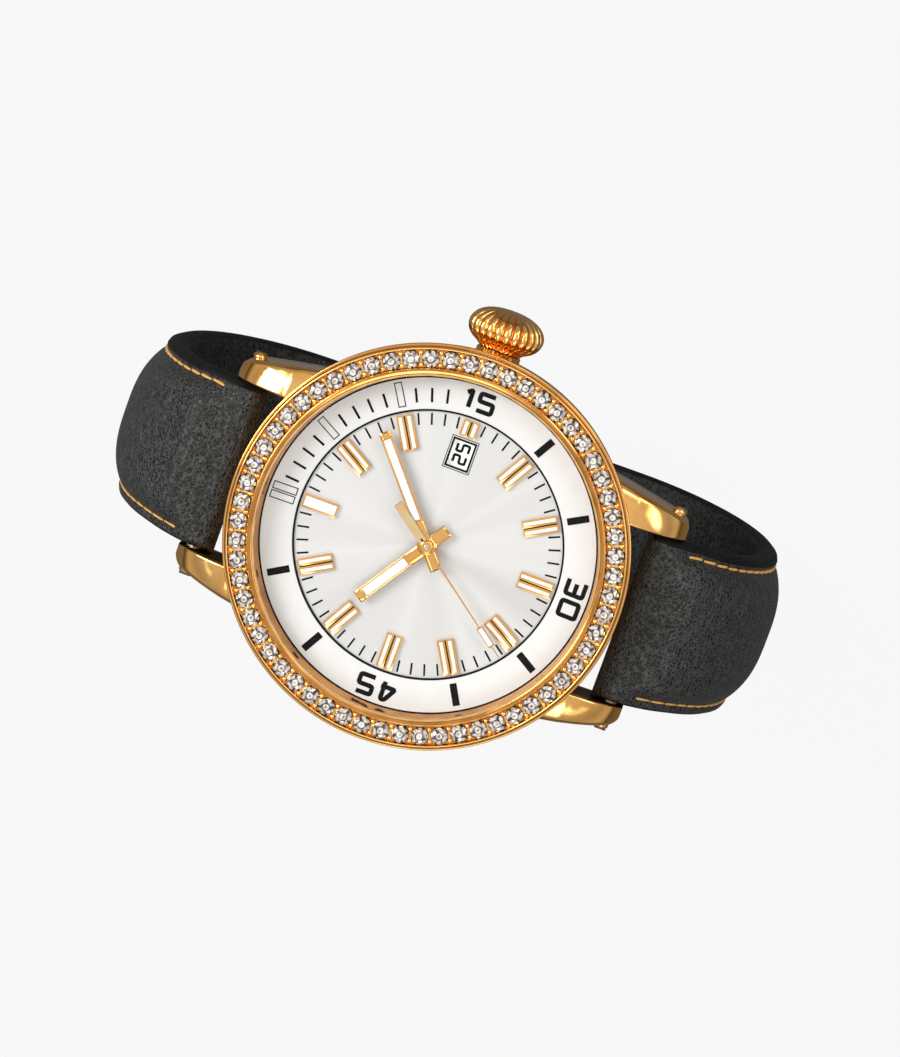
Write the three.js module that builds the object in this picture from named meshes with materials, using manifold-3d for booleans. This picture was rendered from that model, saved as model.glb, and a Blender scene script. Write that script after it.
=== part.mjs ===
// A round wristwatch with a stone-set bezel, a quartz movement and a two-piece padded strap.
// Millimetres. +Z looks out of the dial, +Y points to 12 o'clock, and +X to 3 o'clock, where the crown is.
// Everything is drawn with height 0 at the dial's top face. The finished group is then raised, so that
// the part's origin is the centre of the case back's outer face, on the hands' axis.

import * as THREE from "three";
import { mergeVertices } from "three/addons/utils/BufferGeometryUtils.js";
import Module from "manifold-3d";

const wasm = await Module();
wasm.setup();

// ---------------------------------------------------------------- driving dimensions

const RING_FACETS = 40; // round the case, bezel, crystal and dial
const PIN_FACETS = 16; // round arbors, screws and bars
const AIR = 0.03; // left between pieces that rest on each other

const CASE = { radius: 20, top: 1.6, bottom: -5.6, dialBore: 17.6, dialLedge: -0.45, movementBore: 15.3 };
const LUG = { innerX: 9, rootX: 13.2, tipX: 11, tipY: 23.9 };
const BAR = { y: 22.5, z: -3.3, radius: 0.9, halfLength: 8.95, threadRadius: 0.5, threadDepth: 3.5 };
const BEZEL = { radius: 20.5, bore: 17.6, top: 3, channelInner: 18, channelOuter: 19.9, channelFloor: 2.4 };
const STONE = { count: 60, radius: 0.81, pitchRadius: 18.95, girdle: 2.8, top: 3.1 };
const CRYSTAL = { radius: 17.28, bottom: 2.22, top: 3.5 };
const BACK = { radius: 18.3, flatRadius: 17.2, spigotRadius: 15.2, bottom: -6.6 };
const CROWN = { axisZ: -2.1, radius: 3.9, start: 20.65, end: 24.85, flutes: 24, recessRadius: 2 };
const TUBE = { bore: 0.75, radius: 1.38, start: 16, end: 22 };
const STEM = { radius: 0.5, start: 12.8, end: 22.2 };

const DIAL = { radius: 17.4, bottom: -0.4, top: 0, bore: 0.9 };
const CHAPTER = { innerRadius: 13.7, outerRadius: 17.4, innerTop: 0.25, outerTop: 0.7 };
const DATE_WINDOW = { radius: 9.7, width: 2.69, height: 2.15 };
const DATE_DISC = { inner: 8, outer: 11.4, bottom: -1, top: -0.6, teeth: 31 };
const INDEX = { inner: 9.67, outer: 13.3, shortInner: 11.6, doubleWidth: 1.67, singleWidth: 1.45, top: 0.45 };

// Time shown: each hand's angle, in degrees clockwise from 12.
const HOUR_HAND = { angle: 303.4, tip: 8.8, tail: 2.6, width: 1.35, hub: 1.05, bottom: 0.75, top: 0.95 };
const MINUTE_HAND = { angle: 49.9, tip: 12.2, tail: 2.6, width: 1.18, hub: 0.95, bottom: 1.12, top: 1.3 };
const SECONDS_HAND = {
  angle: 217,
  tip: 13.3,
  tail: 5.2,
  width: 0.16,
  hub: 0.68,
  bottom: 1.46,
  blade: 1.58, // top of the thin blade
  top: 1.7, // of the hub
};

// Main plate and bridge of the movement.
const PLATE = { radius: 15.1, rim: -0.48, floorTop: -1.65, floorBottom: -1.95, skirtBottom: -4.7 };
const BRIDGE = { top: -4, bottom: -4.3 };
const ARBOR = { radius: 0.15, hole: 0.22 };

// Gear train: centre distances come from the module and the tooth counts of each pair.
const MESH = {
  reduction: { leaves: 6, teeth: 36, module: 0.12 },
  seconds: { leaves: 6, teeth: 30, module: 0.17 },
  third: { leaves: 6, teeth: 45, module: 0.12 },
  center: { leaves: 6, teeth: 48, module: 0.34 / 3 },
  minute: { leaves: 10, teeth: 30, module: 0.14 },
  hour: { leaves: 8, teeth: 32, module: 0.14 },
};

const STRAP = {
  width: 17.6, // at the lugs
  endWidth: 16,
  reach: 32.8, // how far the centreline swings out from the hands' axis
  barRadius: 2.1, // of the leather wrapped round the strap bar
  lugEdge: 1.25, // half the thickness of the stitched border near the lugs
  edge: 1.15, // and from 45 mm on
  pad: 1.9, // how far the padding stands above the border
  floorZ: -49,
  buckleY: 4.5,
  tipY: -7,
};
const BUCKLE = { halfWidth: 10.1, innerHalfWidth: 8.35, barRadius: 0.7, reach: 5.2, thickness: 2.4 };
const KEEPER = { inner: 8.25, wall: 0.8, length: 3, fixedY: 7.5, freeY: 12.2, depth: 5.2 };

// ---------------------------------------------------------------- materials

const METALS = {
  gold: { color: 0xd9963c, roughness: 0.18, metalness: 1 },
  steel: { color: 0xb9bcc0, roughness: 0.3, metalness: 1 },
  brass: { color: 0xc9a552, roughness: 0.4, metalness: 1 },
  copper: { color: 0xb4643a, roughness: 0.5, metalness: 1 },
};
const PLAIN = {
  stone: { color: 0xf2f4f6, roughness: 0.05, metalness: 0 },
  crystal: { color: 0xe8eef0, roughness: 0.02, metalness: 0 },
  dial: { color: 0xe9e8e4, roughness: 0.35, metalness: 0.3 },
  chapter: { color: 0xf2f1ee, roughness: 0.5, metalness: 0 },
  lume: { color: 0xf4f4ee, roughness: 0.7, metalness: 0 },
  rubber: { color: 0x1c1c1c, roughness: 0.8, metalness: 0 },
  nylon: { color: 0x9e6b38, roughness: 0.4, metalness: 0 },
  leather: { color: 0x2b2c2a, roughness: 0.65, metalness: 0 },
  board: { color: 0x2f6b46, roughness: 0.6, metalness: 0 },
  magnet: { color: 0x55585c, roughness: 0.45, metalness: 0.8 },
};
const FINISH = { ...METALS, ...PLAIN };

const watch = new THREE.Group();
watch.name = "wristwatch";

function addPiece(name, geometry, finish) {
  const mesh = new THREE.Mesh(facingOut(geometry), new THREE.MeshStandardMaterial(FINISH[finish]));
  mesh.name = name;
  watch.add(mesh);
}

// ---------------------------------------------------------------- solids and booleans

function bareGeometry(geometry) {
  const bare = geometry.clone();
  bare.deleteAttribute("normal");
  bare.deleteAttribute("uv");
  return mergeVertices(bare, 1e-4);
}

function signedVolume(geometry) {
  const corner = [new THREE.Vector3(), new THREE.Vector3(), new THREE.Vector3()];
  const { index, attributes } = geometry;
  let volume = 0;
  for (let i = 0; i < index.count; i += 3) {
    corner.forEach((point, k) => point.fromBufferAttribute(attributes.position, index.getX(i + k)));
    volume += corner[0].dot(corner[1].clone().cross(corner[2])) / 6;
  }
  return volume;
}

// Merges the vertices, and turns the faces round on a geometry that a mirroring left inside out.
function facingOut(geometry) {
  const merged = bareGeometry(geometry);
  if (signedVolume(merged) < 0) {
    merged.setIndex([...merged.index.array].reverse());
  }
  merged.computeVertexNormals();
  return merged;
}

function solidOf(geometry) {
  const { index, attributes } = facingOut(geometry);
  const mesh = new wasm.Mesh({
    numProp: 3,
    vertProperties: attributes.position.array,
    triVerts: new Uint32Array(index.array),
  });
  return new wasm.Manifold(mesh);
}

function geometryOf(solid) {
  const { vertProperties, triVerts } = solid.getMesh();
  const geometry = new THREE.BufferGeometry();
  geometry.setAttribute("position", new THREE.BufferAttribute(vertProperties, 3));
  geometry.setIndex(new THREE.BufferAttribute(triVerts, 1));
  return geometry;
}

function joined(first, ...others) {
  return geometryOf(others.reduce((sum, other) => sum.add(solidOf(other)), solidOf(first)));
}

function cut(first, ...others) {
  return geometryOf(others.reduce((rest, other) => rest.subtract(solidOf(other)), solidOf(first)));
}

function common(first, second) {
  return geometryOf(solidOf(first).intersect(solidOf(second)));
}

// ---------------------------------------------------------------- basic forms

const radians = THREE.MathUtils.degToRad;
const point = (x, y) => new THREE.Vector2(x, y);

// A profile of [radius, height] pairs turned about Z. It starts and ends on the axis or closes on itself.
function turned(profile, facets = RING_FACETS) {
  const points = profile.map(([radius, height]) => point(radius, height));
  return new THREE.LatheGeometry(points, facets).rotateX(Math.PI / 2);
}

// A ring of rectangular section, turned about Z.
function ring(inner, outer, bottom, top, facets = RING_FACETS) {
  const corners = [[inner, bottom], [outer, bottom], [outer, top], [inner, top], [inner, bottom]];
  return turned(corners, facets);
}

function disc(radius, bottom, top, facets = PIN_FACETS) {
  return turned([[0, bottom], [radius, bottom], [radius, top], [0, top]], facets);
}

// A shape in X-Y made solid from one height to another.
function slab(shape, bottom, top) {
  const options = { depth: top - bottom, bevelEnabled: false, curveSegments: 6 };
  return new THREE.ExtrudeGeometry(shape, options).translate(0, 0, bottom);
}

// A shape drawn in Y-Z made solid from one X to another.
function slabAlongX(shape, start, end) {
  const toYZ = new THREE.Matrix4().makeBasis(
    new THREE.Vector3(0, 1, 0),
    new THREE.Vector3(0, 0, 1),
    new THREE.Vector3(1, 0, 0),
  );
  return slab(shape, start, end).applyMatrix4(toYZ);
}

function box(x0, x1, y0, y1, z0, z1) {
  const form = new THREE.BoxGeometry(x1 - x0, y1 - y0, z1 - z0);
  return form.translate((x0 + x1) / 2, (y0 + y1) / 2, (z0 + z1) / 2);
}

// Turns a form made about Z so that it lies about a line parallel to X.
function aboutX(geometry, y, z) {
  return geometry.rotateY(Math.PI / 2).translate(0, y, z);
}

function polygon(corners) {
  return new THREE.Shape(corners.map(([x, y]) => point(x, y)));
}

// Turns a form that points to 12 o'clock to another angle, in degrees clockwise.
function clockwise(geometry, degrees) {
  return geometry.rotateZ(-radians(degrees));
}

// A point at a radius and a counter-clockwise angle from 3 o'clock.
function polar(radius, degrees) {
  return [radius * Math.cos(radians(degrees)), radius * Math.sin(radians(degrees))];
}

// ---------------------------------------------------------------- case

function lug() {
  const side = new THREE.Shape();
  side.moveTo(14.5, 1.2);
  side.lineTo(18.2, 1.1);
  side.bezierCurveTo(20.8, 0.7, 23.2, -0.6, LUG.tipY, -2.2);
  side.bezierCurveTo(24.1, -4.4, 23.6, -5.4, 22.6, -5.9);
  side.bezierCurveTo(21, -6.1, 19.5, -5.2, 14.5, -5.2);
  const plan = new THREE.Shape();
  plan.moveTo(LUG.innerX, 13);
  plan.lineTo(LUG.rootX, 13);
  plan.bezierCurveTo(12.7, 17, 11.9, 20.5, LUG.tipX, 24.2);
  plan.lineTo(LUG.innerX, 24.2);
  const horn = common(slabAlongX(side, 8, 15), slab(plan, -7, 2));
  const screwHole = aboutX(disc(0.5, 8, 13), BAR.y, BAR.z);
  const screwSeat = aboutX(disc(0.8, 11.25, 13), BAR.y, BAR.z);
  return cut(horn, disc(18.5, -7, 2, RING_FACETS), screwHole, screwSeat);
}

function caseMiddle() {
  const { radius, top, bottom, dialBore, dialLedge, movementBore } = CASE;
  const band = turned([
    [movementBore, bottom],
    [15.9, bottom],
    [15.9, bottom + 0.5],
    [16.7, bottom + 0.5],
    [16.7, bottom],
    [18.6, bottom],
    [19.6, bottom + 0.7],
    [radius, bottom + 2.1],
    [radius, top - 0.6],
    [radius - 0.25, top],
    [dialBore, top],
    [dialBore, dialLedge],
    [movementBore, dialLedge],
    [movementBore, bottom],
  ]);
  const lugs = [];
  for (const sideX of [1, -1]) {
    for (const sideY of [1, -1]) {
      lugs.push(lug().scale(sideX, sideY, 1));
    }
  }
  const tubeHole = aboutX(disc(TUBE.radius + 0.05, 14, 23), 0, CROWN.axisZ);
  return cut(joined(band, ...lugs), tubeHole);
}

function bezel() {
  const { radius, bore, top, channelInner, channelOuter, channelFloor } = BEZEL;
  const bottom = CASE.top + AIR;
  return turned([
    [bore, bottom],
    [radius - 0.4, bottom],
    [radius, bottom + 0.3],
    [radius, top - 0.5],
    [radius - 0.3, top - 0.15],
    [channelOuter + 0.05, top - 0.1],
    [channelOuter, channelFloor],
    [channelInner, channelFloor],
    [channelInner - 0.02, top - 0.05],
    [channelInner - 0.15, top + 0.05],
    [bore, top - 0.05],
    [bore, bottom],
  ]);
}

// The stones, with the rail that carries them in the bezel's channel.
function gemRing() {
  const { count, radius, pitchRadius, girdle, top } = STONE;
  const floor = BEZEL.channelFloor + AIR;
  const rail = ring(BEZEL.channelInner + 0.05, BEZEL.channelOuter - 0.05, floor, floor + 0.2);
  const stones = [];
  for (let i = 0; i < count; i++) {
    const profile = [[0, floor + 0.1], [0.6, floor + 0.1], [radius, girdle], [0.5, top], [0, top]];
    const stone = turned(profile, 6).translate(0, pitchRadius, 0);
    stones.push(clockwise(stone, (360 * i) / count));
  }
  return joined(rail, ...stones);
}

function crystal() {
  const { radius, bottom, top } = CRYSTAL;
  return turned([[0, bottom], [radius, bottom], [radius, top - 0.3], [radius - 0.3, top - 0.08], [0, top]]);
}

// Polished slope between the crystal and the chapter ring.
function flangeRing() {
  const bottom = CHAPTER.outerTop + AIR;
  const top = CRYSTAL.bottom - AIR;
  return turned([[17.05, bottom], [17.55, bottom], [17.55, top], [17.45, top], [17.05, bottom]]);
}

function caseBack() {
  const { radius, flatRadius, spigotRadius, bottom } = BACK;
  const seat = CASE.bottom - AIR;
  return turned([
    [0, bottom],
    [flatRadius, bottom],
    [radius, bottom + 0.5],
    [radius, seat],
    [spigotRadius, seat],
    [spigotRadius, seat + 0.45],
    [0, seat + 0.45],
  ]);
}

function crown() {
  const { start, end, radius, flutes, recessRadius, axisZ } = CROWN;
  const onion = turned(
    [
      [0, STEM.end + AIR],
      [recessRadius, STEM.end + AIR],
      [recessRadius, start],
      [3.3, start],
      [radius, start + 0.9],
      [radius, start + 2.2],
      [3.35, end - 0.75],
      [1.9, end - 0.15],
      [0, end],
    ],
    flutes * 3,
  );
  const { position } = onion.attributes;
  for (let i = 0; i < position.count; i++) {
    const [x, y] = [position.getX(i), position.getY(i)];
    if (Math.hypot(x, y) > recessRadius + 0.5) {
      const inward = 1 - 0.035 * (1 - Math.cos(flutes * Math.atan2(y, x)));
      position.setXY(i, x * inward, y * inward);
    }
  }
  return aboutX(onion, 0, axisZ);
}

function crownTube() {
  const { bore, radius, start, end } = TUBE;
  return aboutX(ring(bore, radius, start, end, 24), 0, CROWN.axisZ);
}

function windingStem() {
  const { radius, start, end } = STEM;
  const neck = start + 0.9; // groove that the setting lever drops into
  const profile = [
    [0, start],
    [radius, start],
    [radius, neck],
    [radius - 0.2, neck],
    [radius - 0.2, neck + 0.4],
    [radius, neck + 0.4],
    [radius, end],
    [0, end],
  ];
  return aboutX(turned(profile, PIN_FACETS), 0, CROWN.axisZ);
}

function strapBar(side) {
  const { radius, halfLength, threadRadius, threadDepth, y, z } = BAR;
  const bar = disc(radius, -halfLength, halfLength);
  const threads = [-1, 1].map((end) => {
    const [inner, outer] = [end * (halfLength - threadDepth), end * (halfLength + 1)];
    return disc(threadRadius, Math.min(inner, outer), Math.max(inner, outer));
  });
  return aboutX(cut(bar, ...threads), side * y, z);
}

function lugScrew(sideX, sideY) {
  const head = 11.28;
  const profile = [[0, 6], [0.45, 6], [0.45, head], [0.7, head], [0.7, head + 0.5], [0.45, head + 0.75]];
  const screw = turned([...profile, [0, head + 0.82]], 12);
  const slot = box(-0.1, 0.1, -1, 1, head + 0.6, head + 1);
  return aboutX(cut(screw, slot), BAR.y, BAR.z).scale(sideX, sideY, 1);
}

// ---------------------------------------------------------------- dial side

function dial() {
  const { radius, bottom, top, bore } = DIAL;
  const { radius: at, width, height } = DATE_WINDOW;
  const window = box(at - width / 2, at + width / 2, -height / 2, height / 2, bottom - 1, top + 1);
  return cut(ring(bore, radius, bottom, top), window);
}

function chapterRing() {
  const { innerRadius, outerRadius, innerTop, outerTop } = CHAPTER;
  return turned([
    [innerRadius, 0.01],
    [outerRadius, 0.01],
    [outerRadius, outerTop],
    [innerRadius, innerTop],
    [innerRadius, 0.01],
  ]);
}

// A section in X-Z, taken along Y and turned to its hour.
function baton(section, inner, outer, hour) {
  const toXZ = new THREE.Matrix4().makeBasis(
    new THREE.Vector3(1, 0, 0),
    new THREE.Vector3(0, 0, 1),
    new THREE.Vector3(0, -1, 0),
  );
  const bar = slab(polygon(section), -outer, -inner).applyMatrix4(toXZ);
  return clockwise(bar, 30 * hour);
}

function index(hour) {
  const { inner, outer, shortInner, doubleWidth, singleWidth, top } = INDEX;
  const foot = 0.02;
  const half = (hour === 12 ? singleWidth : doubleWidth) / 2;
  const right = [[half, foot], [half, top - 0.15], [half - 0.1, top]];
  const groove = hour === 12 ? [] : [[0.2, top], [0.1, top - 0.15], [0.1, 0.15]];
  const rightSide = [...right, ...groove];
  const leftSide = rightSide.map(([x, z]) => [-x, z]).reverse();
  return baton([...rightSide, ...leftSide], hour === 3 ? shortInner : inner, outer, hour);
}

// A flat ring with one saw tooth for each day of the month on its inner edge.
function dateDisc() {
  const { inner, outer, bottom, top, teeth } = DATE_DISC;
  const shape = new THREE.Shape();
  shape.absarc(0, 0, outer, 0, 2 * Math.PI);
  const toothed = [];
  for (let i = 0; i < teeth; i++) {
    const start = (360 * i) / teeth;
    toothed.push(polar(inner - 0.25, start), polar(inner, start + 90 / teeth));
  }
  shape.holes.push(new THREE.Path(toothed.map(([x, y]) => point(x, y))));
  const options = { depth: top - bottom, bevelEnabled: false, curveSegments: RING_FACETS };
  return new THREE.ExtrudeGeometry(shape, options).translate(0, 0, bottom);
}

// ---------------------------------------------------------------- hands

// A straight blade with a square tip, a hub and a window for the inlay.
function bladeHand({ angle, tip, tail, width, hub, bottom, top }, bore, inlay) {
  const half = width / 2;
  const tipEdge = [[half, tip - 0.3], [half - 0.3, tip], [0.3 - half, tip], [-half, tip - 0.3]];
  const outline = [[-half, -tail], [half, -tail], ...tipEdge];
  const hand = cut(
    joined(slab(polygon(outline), bottom, top), disc(hub, bottom, top)),
    disc(bore, bottom - 1, top + 1),
    box(-inlay.half, inlay.half, inlay.start, inlay.end, bottom - 1, top + 1),
  );
  return clockwise(hand, angle);
}

function handInlay({ angle, bottom, top }, inlay) {
  const { half, start, end } = inlay;
  const plate = box(-half + AIR, half - AIR, start + AIR, end - AIR, bottom + 0.02, top + 0.02);
  return clockwise(plate, angle);
}

const HOUR_INLAY = { half: 0.42, start: 2.6, end: 7.7 };
const MINUTE_INLAY = { half: 0.34, start: 2.8, end: 11.2 };
const SECONDS_INLAY = { half: 0.27, start: 9.75, end: 11.8 };

function secondsHand() {
  const { angle, tip, tail, width, hub, bottom, blade, top } = SECONDS_HAND;
  const frame = SECONDS_INLAY;
  const hand = cut(
    joined(
      box(-width / 2, width / 2, -tail, tip, bottom, blade),
      box(-0.45, 0.45, -tail, -1.3, bottom, blade),
      box(-frame.half - 0.1, frame.half + 0.1, frame.start - 0.1, frame.end + 0.1, bottom, blade),
      disc(hub, bottom, top),
    ),
    disc(ARBOR.radius + 0.03, bottom - 1, bottom + 0.2),
    box(-frame.half, frame.half, frame.start, frame.end, bottom - 1, blade + 1),
  );
  return clockwise(hand, angle);
}

// ---------------------------------------------------------------- movement

// Straight-sided teeth, the first of them centred on the given direction, in degrees from 3 o'clock.
function gearShape(teeth, module, direction) {
  const pitch = (teeth * module) / 2;
  const step = 360 / teeth;
  const tooth = [
    [pitch - 1.1 * module, -0.5],
    [pitch + 0.7 * module, -0.08],
    [pitch + 0.7 * module, 0.08],
  ];
  const corners = [];
  for (let i = 0; i < teeth; i++) {
    tooth.forEach(([radius, share]) => corners.push(polar(radius, direction + (i + share) * step)));
  }
  return polygon(corners);
}

function gear(teeth, module, direction, bottom, top) {
  return slab(gearShape(teeth, module, direction), bottom, top);
}

// The pinion has a tooth towards the wheel it drives, so the wheel has a gap facing back.
function facingGap(teeth, direction) {
  return direction + 180 + 180 / teeth;
}

const distanceOf = ({ leaves, teeth, module }) => ((leaves + teeth) * module) / 2;

const THIRD_DIRECTION = 210;
const REDUCTION_DIRECTION = 90;
const ROTOR_DIRECTION = 30; // from the reduction wheel
const MINUTE_DIRECTION = -45;

const THIRD_AXIS = polar(distanceOf(MESH.third), THIRD_DIRECTION);
const REDUCTION_AXIS = polar(distanceOf(MESH.seconds), REDUCTION_DIRECTION);
const MINUTE_AXIS = polar(distanceOf(MESH.minute), MINUTE_DIRECTION);
const ROTOR_AXIS = polar(distanceOf(MESH.reduction), ROTOR_DIRECTION).map((v, i) => v + REDUCTION_AXIS[i]);

const at = (geometry, [x, y]) => geometry.translate(x, y, 0);

function rotor() {
  const { leaves, module } = MESH.reduction;
  const pinion = gear(leaves, module, ROTOR_DIRECTION + 180, -3.8, -3.3);
  return at(joined(disc(0.7, -3.3, -2.6), pinion, disc(ARBOR.radius, -4.2, -1.8)), ROTOR_AXIS);
}

function reductionWheel() {
  const { teeth, module } = MESH.reduction;
  const wheel = gear(teeth, module, facingGap(teeth, ROTOR_DIRECTION + 180), -3.65, -3.5);
  const pinion = gear(MESH.seconds.leaves, MESH.seconds.module, REDUCTION_DIRECTION + 180, -3.55, -3);
  return at(joined(wheel, pinion, disc(ARBOR.radius, -4.2, -1.8)), REDUCTION_AXIS);
}

function secondsWheel() {
  const { teeth, module } = MESH.seconds;
  const wheel = gear(teeth, module, facingGap(teeth, REDUCTION_DIRECTION + 180), -3.25, -3.1);
  const pinion = gear(MESH.third.leaves, MESH.third.module, THIRD_DIRECTION, -3.15, -2.55);
  return joined(wheel, pinion, disc(ARBOR.radius, -4.2, 1.63));
}

function thirdWheel() {
  const { teeth, module } = MESH.third;
  const wheel = gear(teeth, module, facingGap(teeth, THIRD_DIRECTION), -2.85, -2.7);
  const pinion = gear(MESH.center.leaves, MESH.center.module, THIRD_DIRECTION + 180, -2.75, -2.15);
  return at(joined(wheel, pinion, disc(ARBOR.radius, -4.2, -1.8)), THIRD_AXIS);
}

// The wheel rides on a tube round the seconds arbor, and the cannon pinion grips that tube by friction.
function centerWheel() {
  const { teeth, module } = MESH.center;
  const wheel = gear(teeth, module, facingGap(teeth, THIRD_DIRECTION + 180), -2.4, -2.22);
  return cut(joined(wheel, disc(0.31, -2.45, -0.9)), disc(0.21, -4, 1));
}

function cannonPinion() {
  const { leaves, module } = MESH.minute;
  const pinion = gear(leaves, module, MINUTE_DIRECTION, -1.6, -1.25);
  return cut(joined(pinion, disc(0.5, -1.6, 1.32)), disc(0.35, -4, 2));
}

function minuteWheel() {
  const { teeth, module } = MESH.minute;
  const wheel = gear(teeth, module, facingGap(teeth, MINUTE_DIRECTION), -1.55, -1.4);
  const pinion = gear(MESH.hour.leaves, MESH.hour.module, MINUTE_DIRECTION + 180, -1.45, -0.9);
  return at(joined(wheel, pinion, disc(ARBOR.radius, -1.85, -0.8)), MINUTE_AXIS);
}

function hourWheel() {
  const { teeth, module } = MESH.hour;
  const wheel = gear(teeth, module, facingGap(teeth, MINUTE_DIRECTION + 180), -1.12, -0.95);
  return cut(joined(wheel, disc(0.75, -1.15, 0.97)), disc(0.56, -4, 2));
}

function mainPlate() {
  const { radius, rim, floorTop, floorBottom, skirtBottom } = PLATE;
  const body = turned([
    [0.45, floorBottom],
    [14.2, floorBottom],
    [14.2, skirtBottom],
    [radius, skirtBottom],
    [radius, rim],
    [11.6, rim],
    [11.6, -1.15],
    [7.6, -1.15],
    [7.6, rim],
    [5.4, rim],
    [5.4, floorTop],
    [0.45, floorTop],
    [0.45, floorBottom],
  ]);
  const pivots = [THIRD_AXIS, REDUCTION_AXIS, ROTOR_AXIS, MINUTE_AXIS];
  const holes = pivots.map((axis) => at(disc(ARBOR.hole, -3, -1, 10), axis));
  const stemSlot = box(12.4, 16, -0.7, 0.7, CROWN.axisZ - 0.7, CROWN.axisZ + 0.7);
  return cut(body, ...holes, stemSlot);
}

function trainBridge() {
  const pillars = [[5.6, 3.2], [-5, 3], [-2.2, -6.2]];
  const upper = [[6.6, 2.6], [6.2, 4.4], [2, 6], [-5.4, 4]];
  const outline = [...upper, [-6, 2.4], [-3.2, -6.8], [-1.4, -7], [1.4, -1.2]];
  const plate = slab(polygon(outline), BRIDGE.bottom, BRIDGE.top);
  const post = () => disc(0.7, BRIDGE.top - 0.1, PLATE.floorBottom - 0.02, 12);
  const posts = pillars.map((pillar) => at(post(), pillar));
  const axes = [[0, 0], THIRD_AXIS, REDUCTION_AXIS, ROTOR_AXIS];
  const holes = axes.map((axis) => at(disc(ARBOR.hole, -5, -3.5, 10), axis));
  return cut(joined(plate, ...posts), ...holes);
}

function battery() {
  const profile = [[0, -4.5], [4.4, -4.5], [4.75, -4.3], [4.75, -2.7], [4.2, -2.6], [4.2, -2.2], [0, -2.2]];
  return at(turned(profile, 32), [4.3, -7.45]);
}

function circuitBoard() {
  const shape = new THREE.Shape();
  shape.absarc(0, 0, 13.6, radians(125), radians(205));
  shape.absarc(0, 0, 7.6, radians(205), radians(125), true);
  const [chipX, chipY] = polar(10.6, 150);
  const chip = box(chipX - 1.5, chipX + 1.5, chipY - 1.5, chipY + 1.5, -3.85, -3);
  const quartz = disc(0.7, -2.6, 2.6, 12).rotateX(Math.PI / 2).translate(...polar(10.6, 187), -3.2);
  return joined(slab(shape, -4, -3.8), chip, quartz);
}

// The stator and coil are drawn with the rotor at the origin and the coil towards +Y.
const COIL = { y: 6, radius: 1.1, halfLength: 3.4, coreRadius: 0.4 };

function placedAtRotor(geometry) {
  return at(geometry.rotateZ(radians(-30)), ROTOR_AXIS);
}

function stator() {
  const [near, far] = [COIL.y - 0.8, COIL.y + 0.8];
  const leg = [[0.4, 0.9], [1.4, 0.9], [5, near], [5, far], [3.8, far], [3.8, near + 0.2]];
  const mirrored = leg.map(([x, y]) => [-x, y]);
  const [bottom, top] = [-3.2, -2.8];
  const legs = [leg, mirrored].map((corners) => slab(polygon(corners), bottom, top));
  const ringed = cut(joined(disc(1.5, bottom, top, 24), ...legs), disc(0.9, bottom - 1, top + 1, 24));
  return placedAtRotor(ringed);
}

function coil() {
  const { y, radius, halfLength, coreRadius } = COIL;
  const core = box(-4.8, 4.8, y - coreRadius, y + coreRadius, -2.77, -2.4);
  const winding = disc(radius, -halfLength, halfLength, 20).rotateY(Math.PI / 2).translate(0, y, -3.1);
  return placedAtRotor(joined(core, winding));
}

// ---------------------------------------------------------------- strap and buckle

// The 12 o'clock half's centreline in Y-Z, from its strap bar round to a point on the flat bottom.
function strapPath(endY) {
  const side = point(STRAP.reach, -22);
  const foot = point(17, STRAP.floorZ);
  const path = new THREE.CurvePath();
  path.add(new THREE.CubicBezierCurve(point(BAR.y, BAR.z), point(28, -4.2), point(STRAP.reach, -11), side));
  path.add(new THREE.CubicBezierCurve(side, point(STRAP.reach, -36), point(27, STRAP.floorZ), foot));
  path.add(new THREE.LineCurve(foot, point(endY, STRAP.floorZ)));
  return path;
}

// Half thickness at a distance along the strap, and how much padding stands above it.
function strapSection(distance) {
  const fromLug = Math.min(distance / 45, 1);
  const edge = THREE.MathUtils.lerp(STRAP.lugEdge, STRAP.edge, THREE.MathUtils.smoothstep(fromLug, 0, 1));
  const rise = THREE.MathUtils.smoothstep(distance, 0.3, 3.8);
  const fall = THREE.MathUtils.smoothstep(distance, 16, 62);
  return { edge, pad: STRAP.pad * rise * (1 - fall) };
}

// Half width at a distance along the strap. A rounded tip closes in over its last few millimetres.
function strapHalfWidth(distance, length, roundedTip) {
  const straight = THREE.MathUtils.lerp(STRAP.width, STRAP.endWidth, Math.min(distance / length, 1)) / 2;
  const left = (length - distance) / 7;
  return roundedTip && left < 1 ? straight * Math.sqrt(1 - 0.8 * (1 - left) ** 2) : straight;
}

// Bends a unit bar along the path: x goes across, y through the leather and z along it.
function bentStrap(path, roundedTip) {
  const outline = [];
  for (let i = 0; i < 12; i++) {
    const angle = (2 * Math.PI * (i + 0.5)) / 12;
    const across = Math.sign(Math.cos(angle)) * Math.abs(Math.cos(angle)) ** 0.7;
    const through = Math.sign(Math.sin(angle)) * Math.abs(Math.sin(angle)) ** 0.3;
    outline.push([across, through]);
  }
  const bar = new THREE.ExtrudeGeometry(polygon(outline), { depth: 1, steps: 26, bevelEnabled: false });
  const length = path.getLength();
  const { position } = bar.attributes;
  for (let i = 0; i < position.count; i++) {
    const [across, through, along] = [position.getX(i), position.getY(i), position.getZ(i)];
    const distance = along * length;
    const centre = path.getPoint(along);
    const tangent = path.getTangent(along);
    const { edge, pad } = strapSection(distance);
    const lift = through * (edge + (through > 0 ? pad * (1 - Math.abs(across) ** 3) : 0));
    const x = across * strapHalfWidth(distance, length, roundedTip);
    position.setXYZ(i, x, centre.x - tangent.y * lift, centre.y + tangent.x * lift);
  }
  return bar;
}

function barLoop(radius, halfWidth, y, z) {
  return aboutX(disc(radius, -halfWidth, halfWidth, 20), y, z);
}

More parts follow.
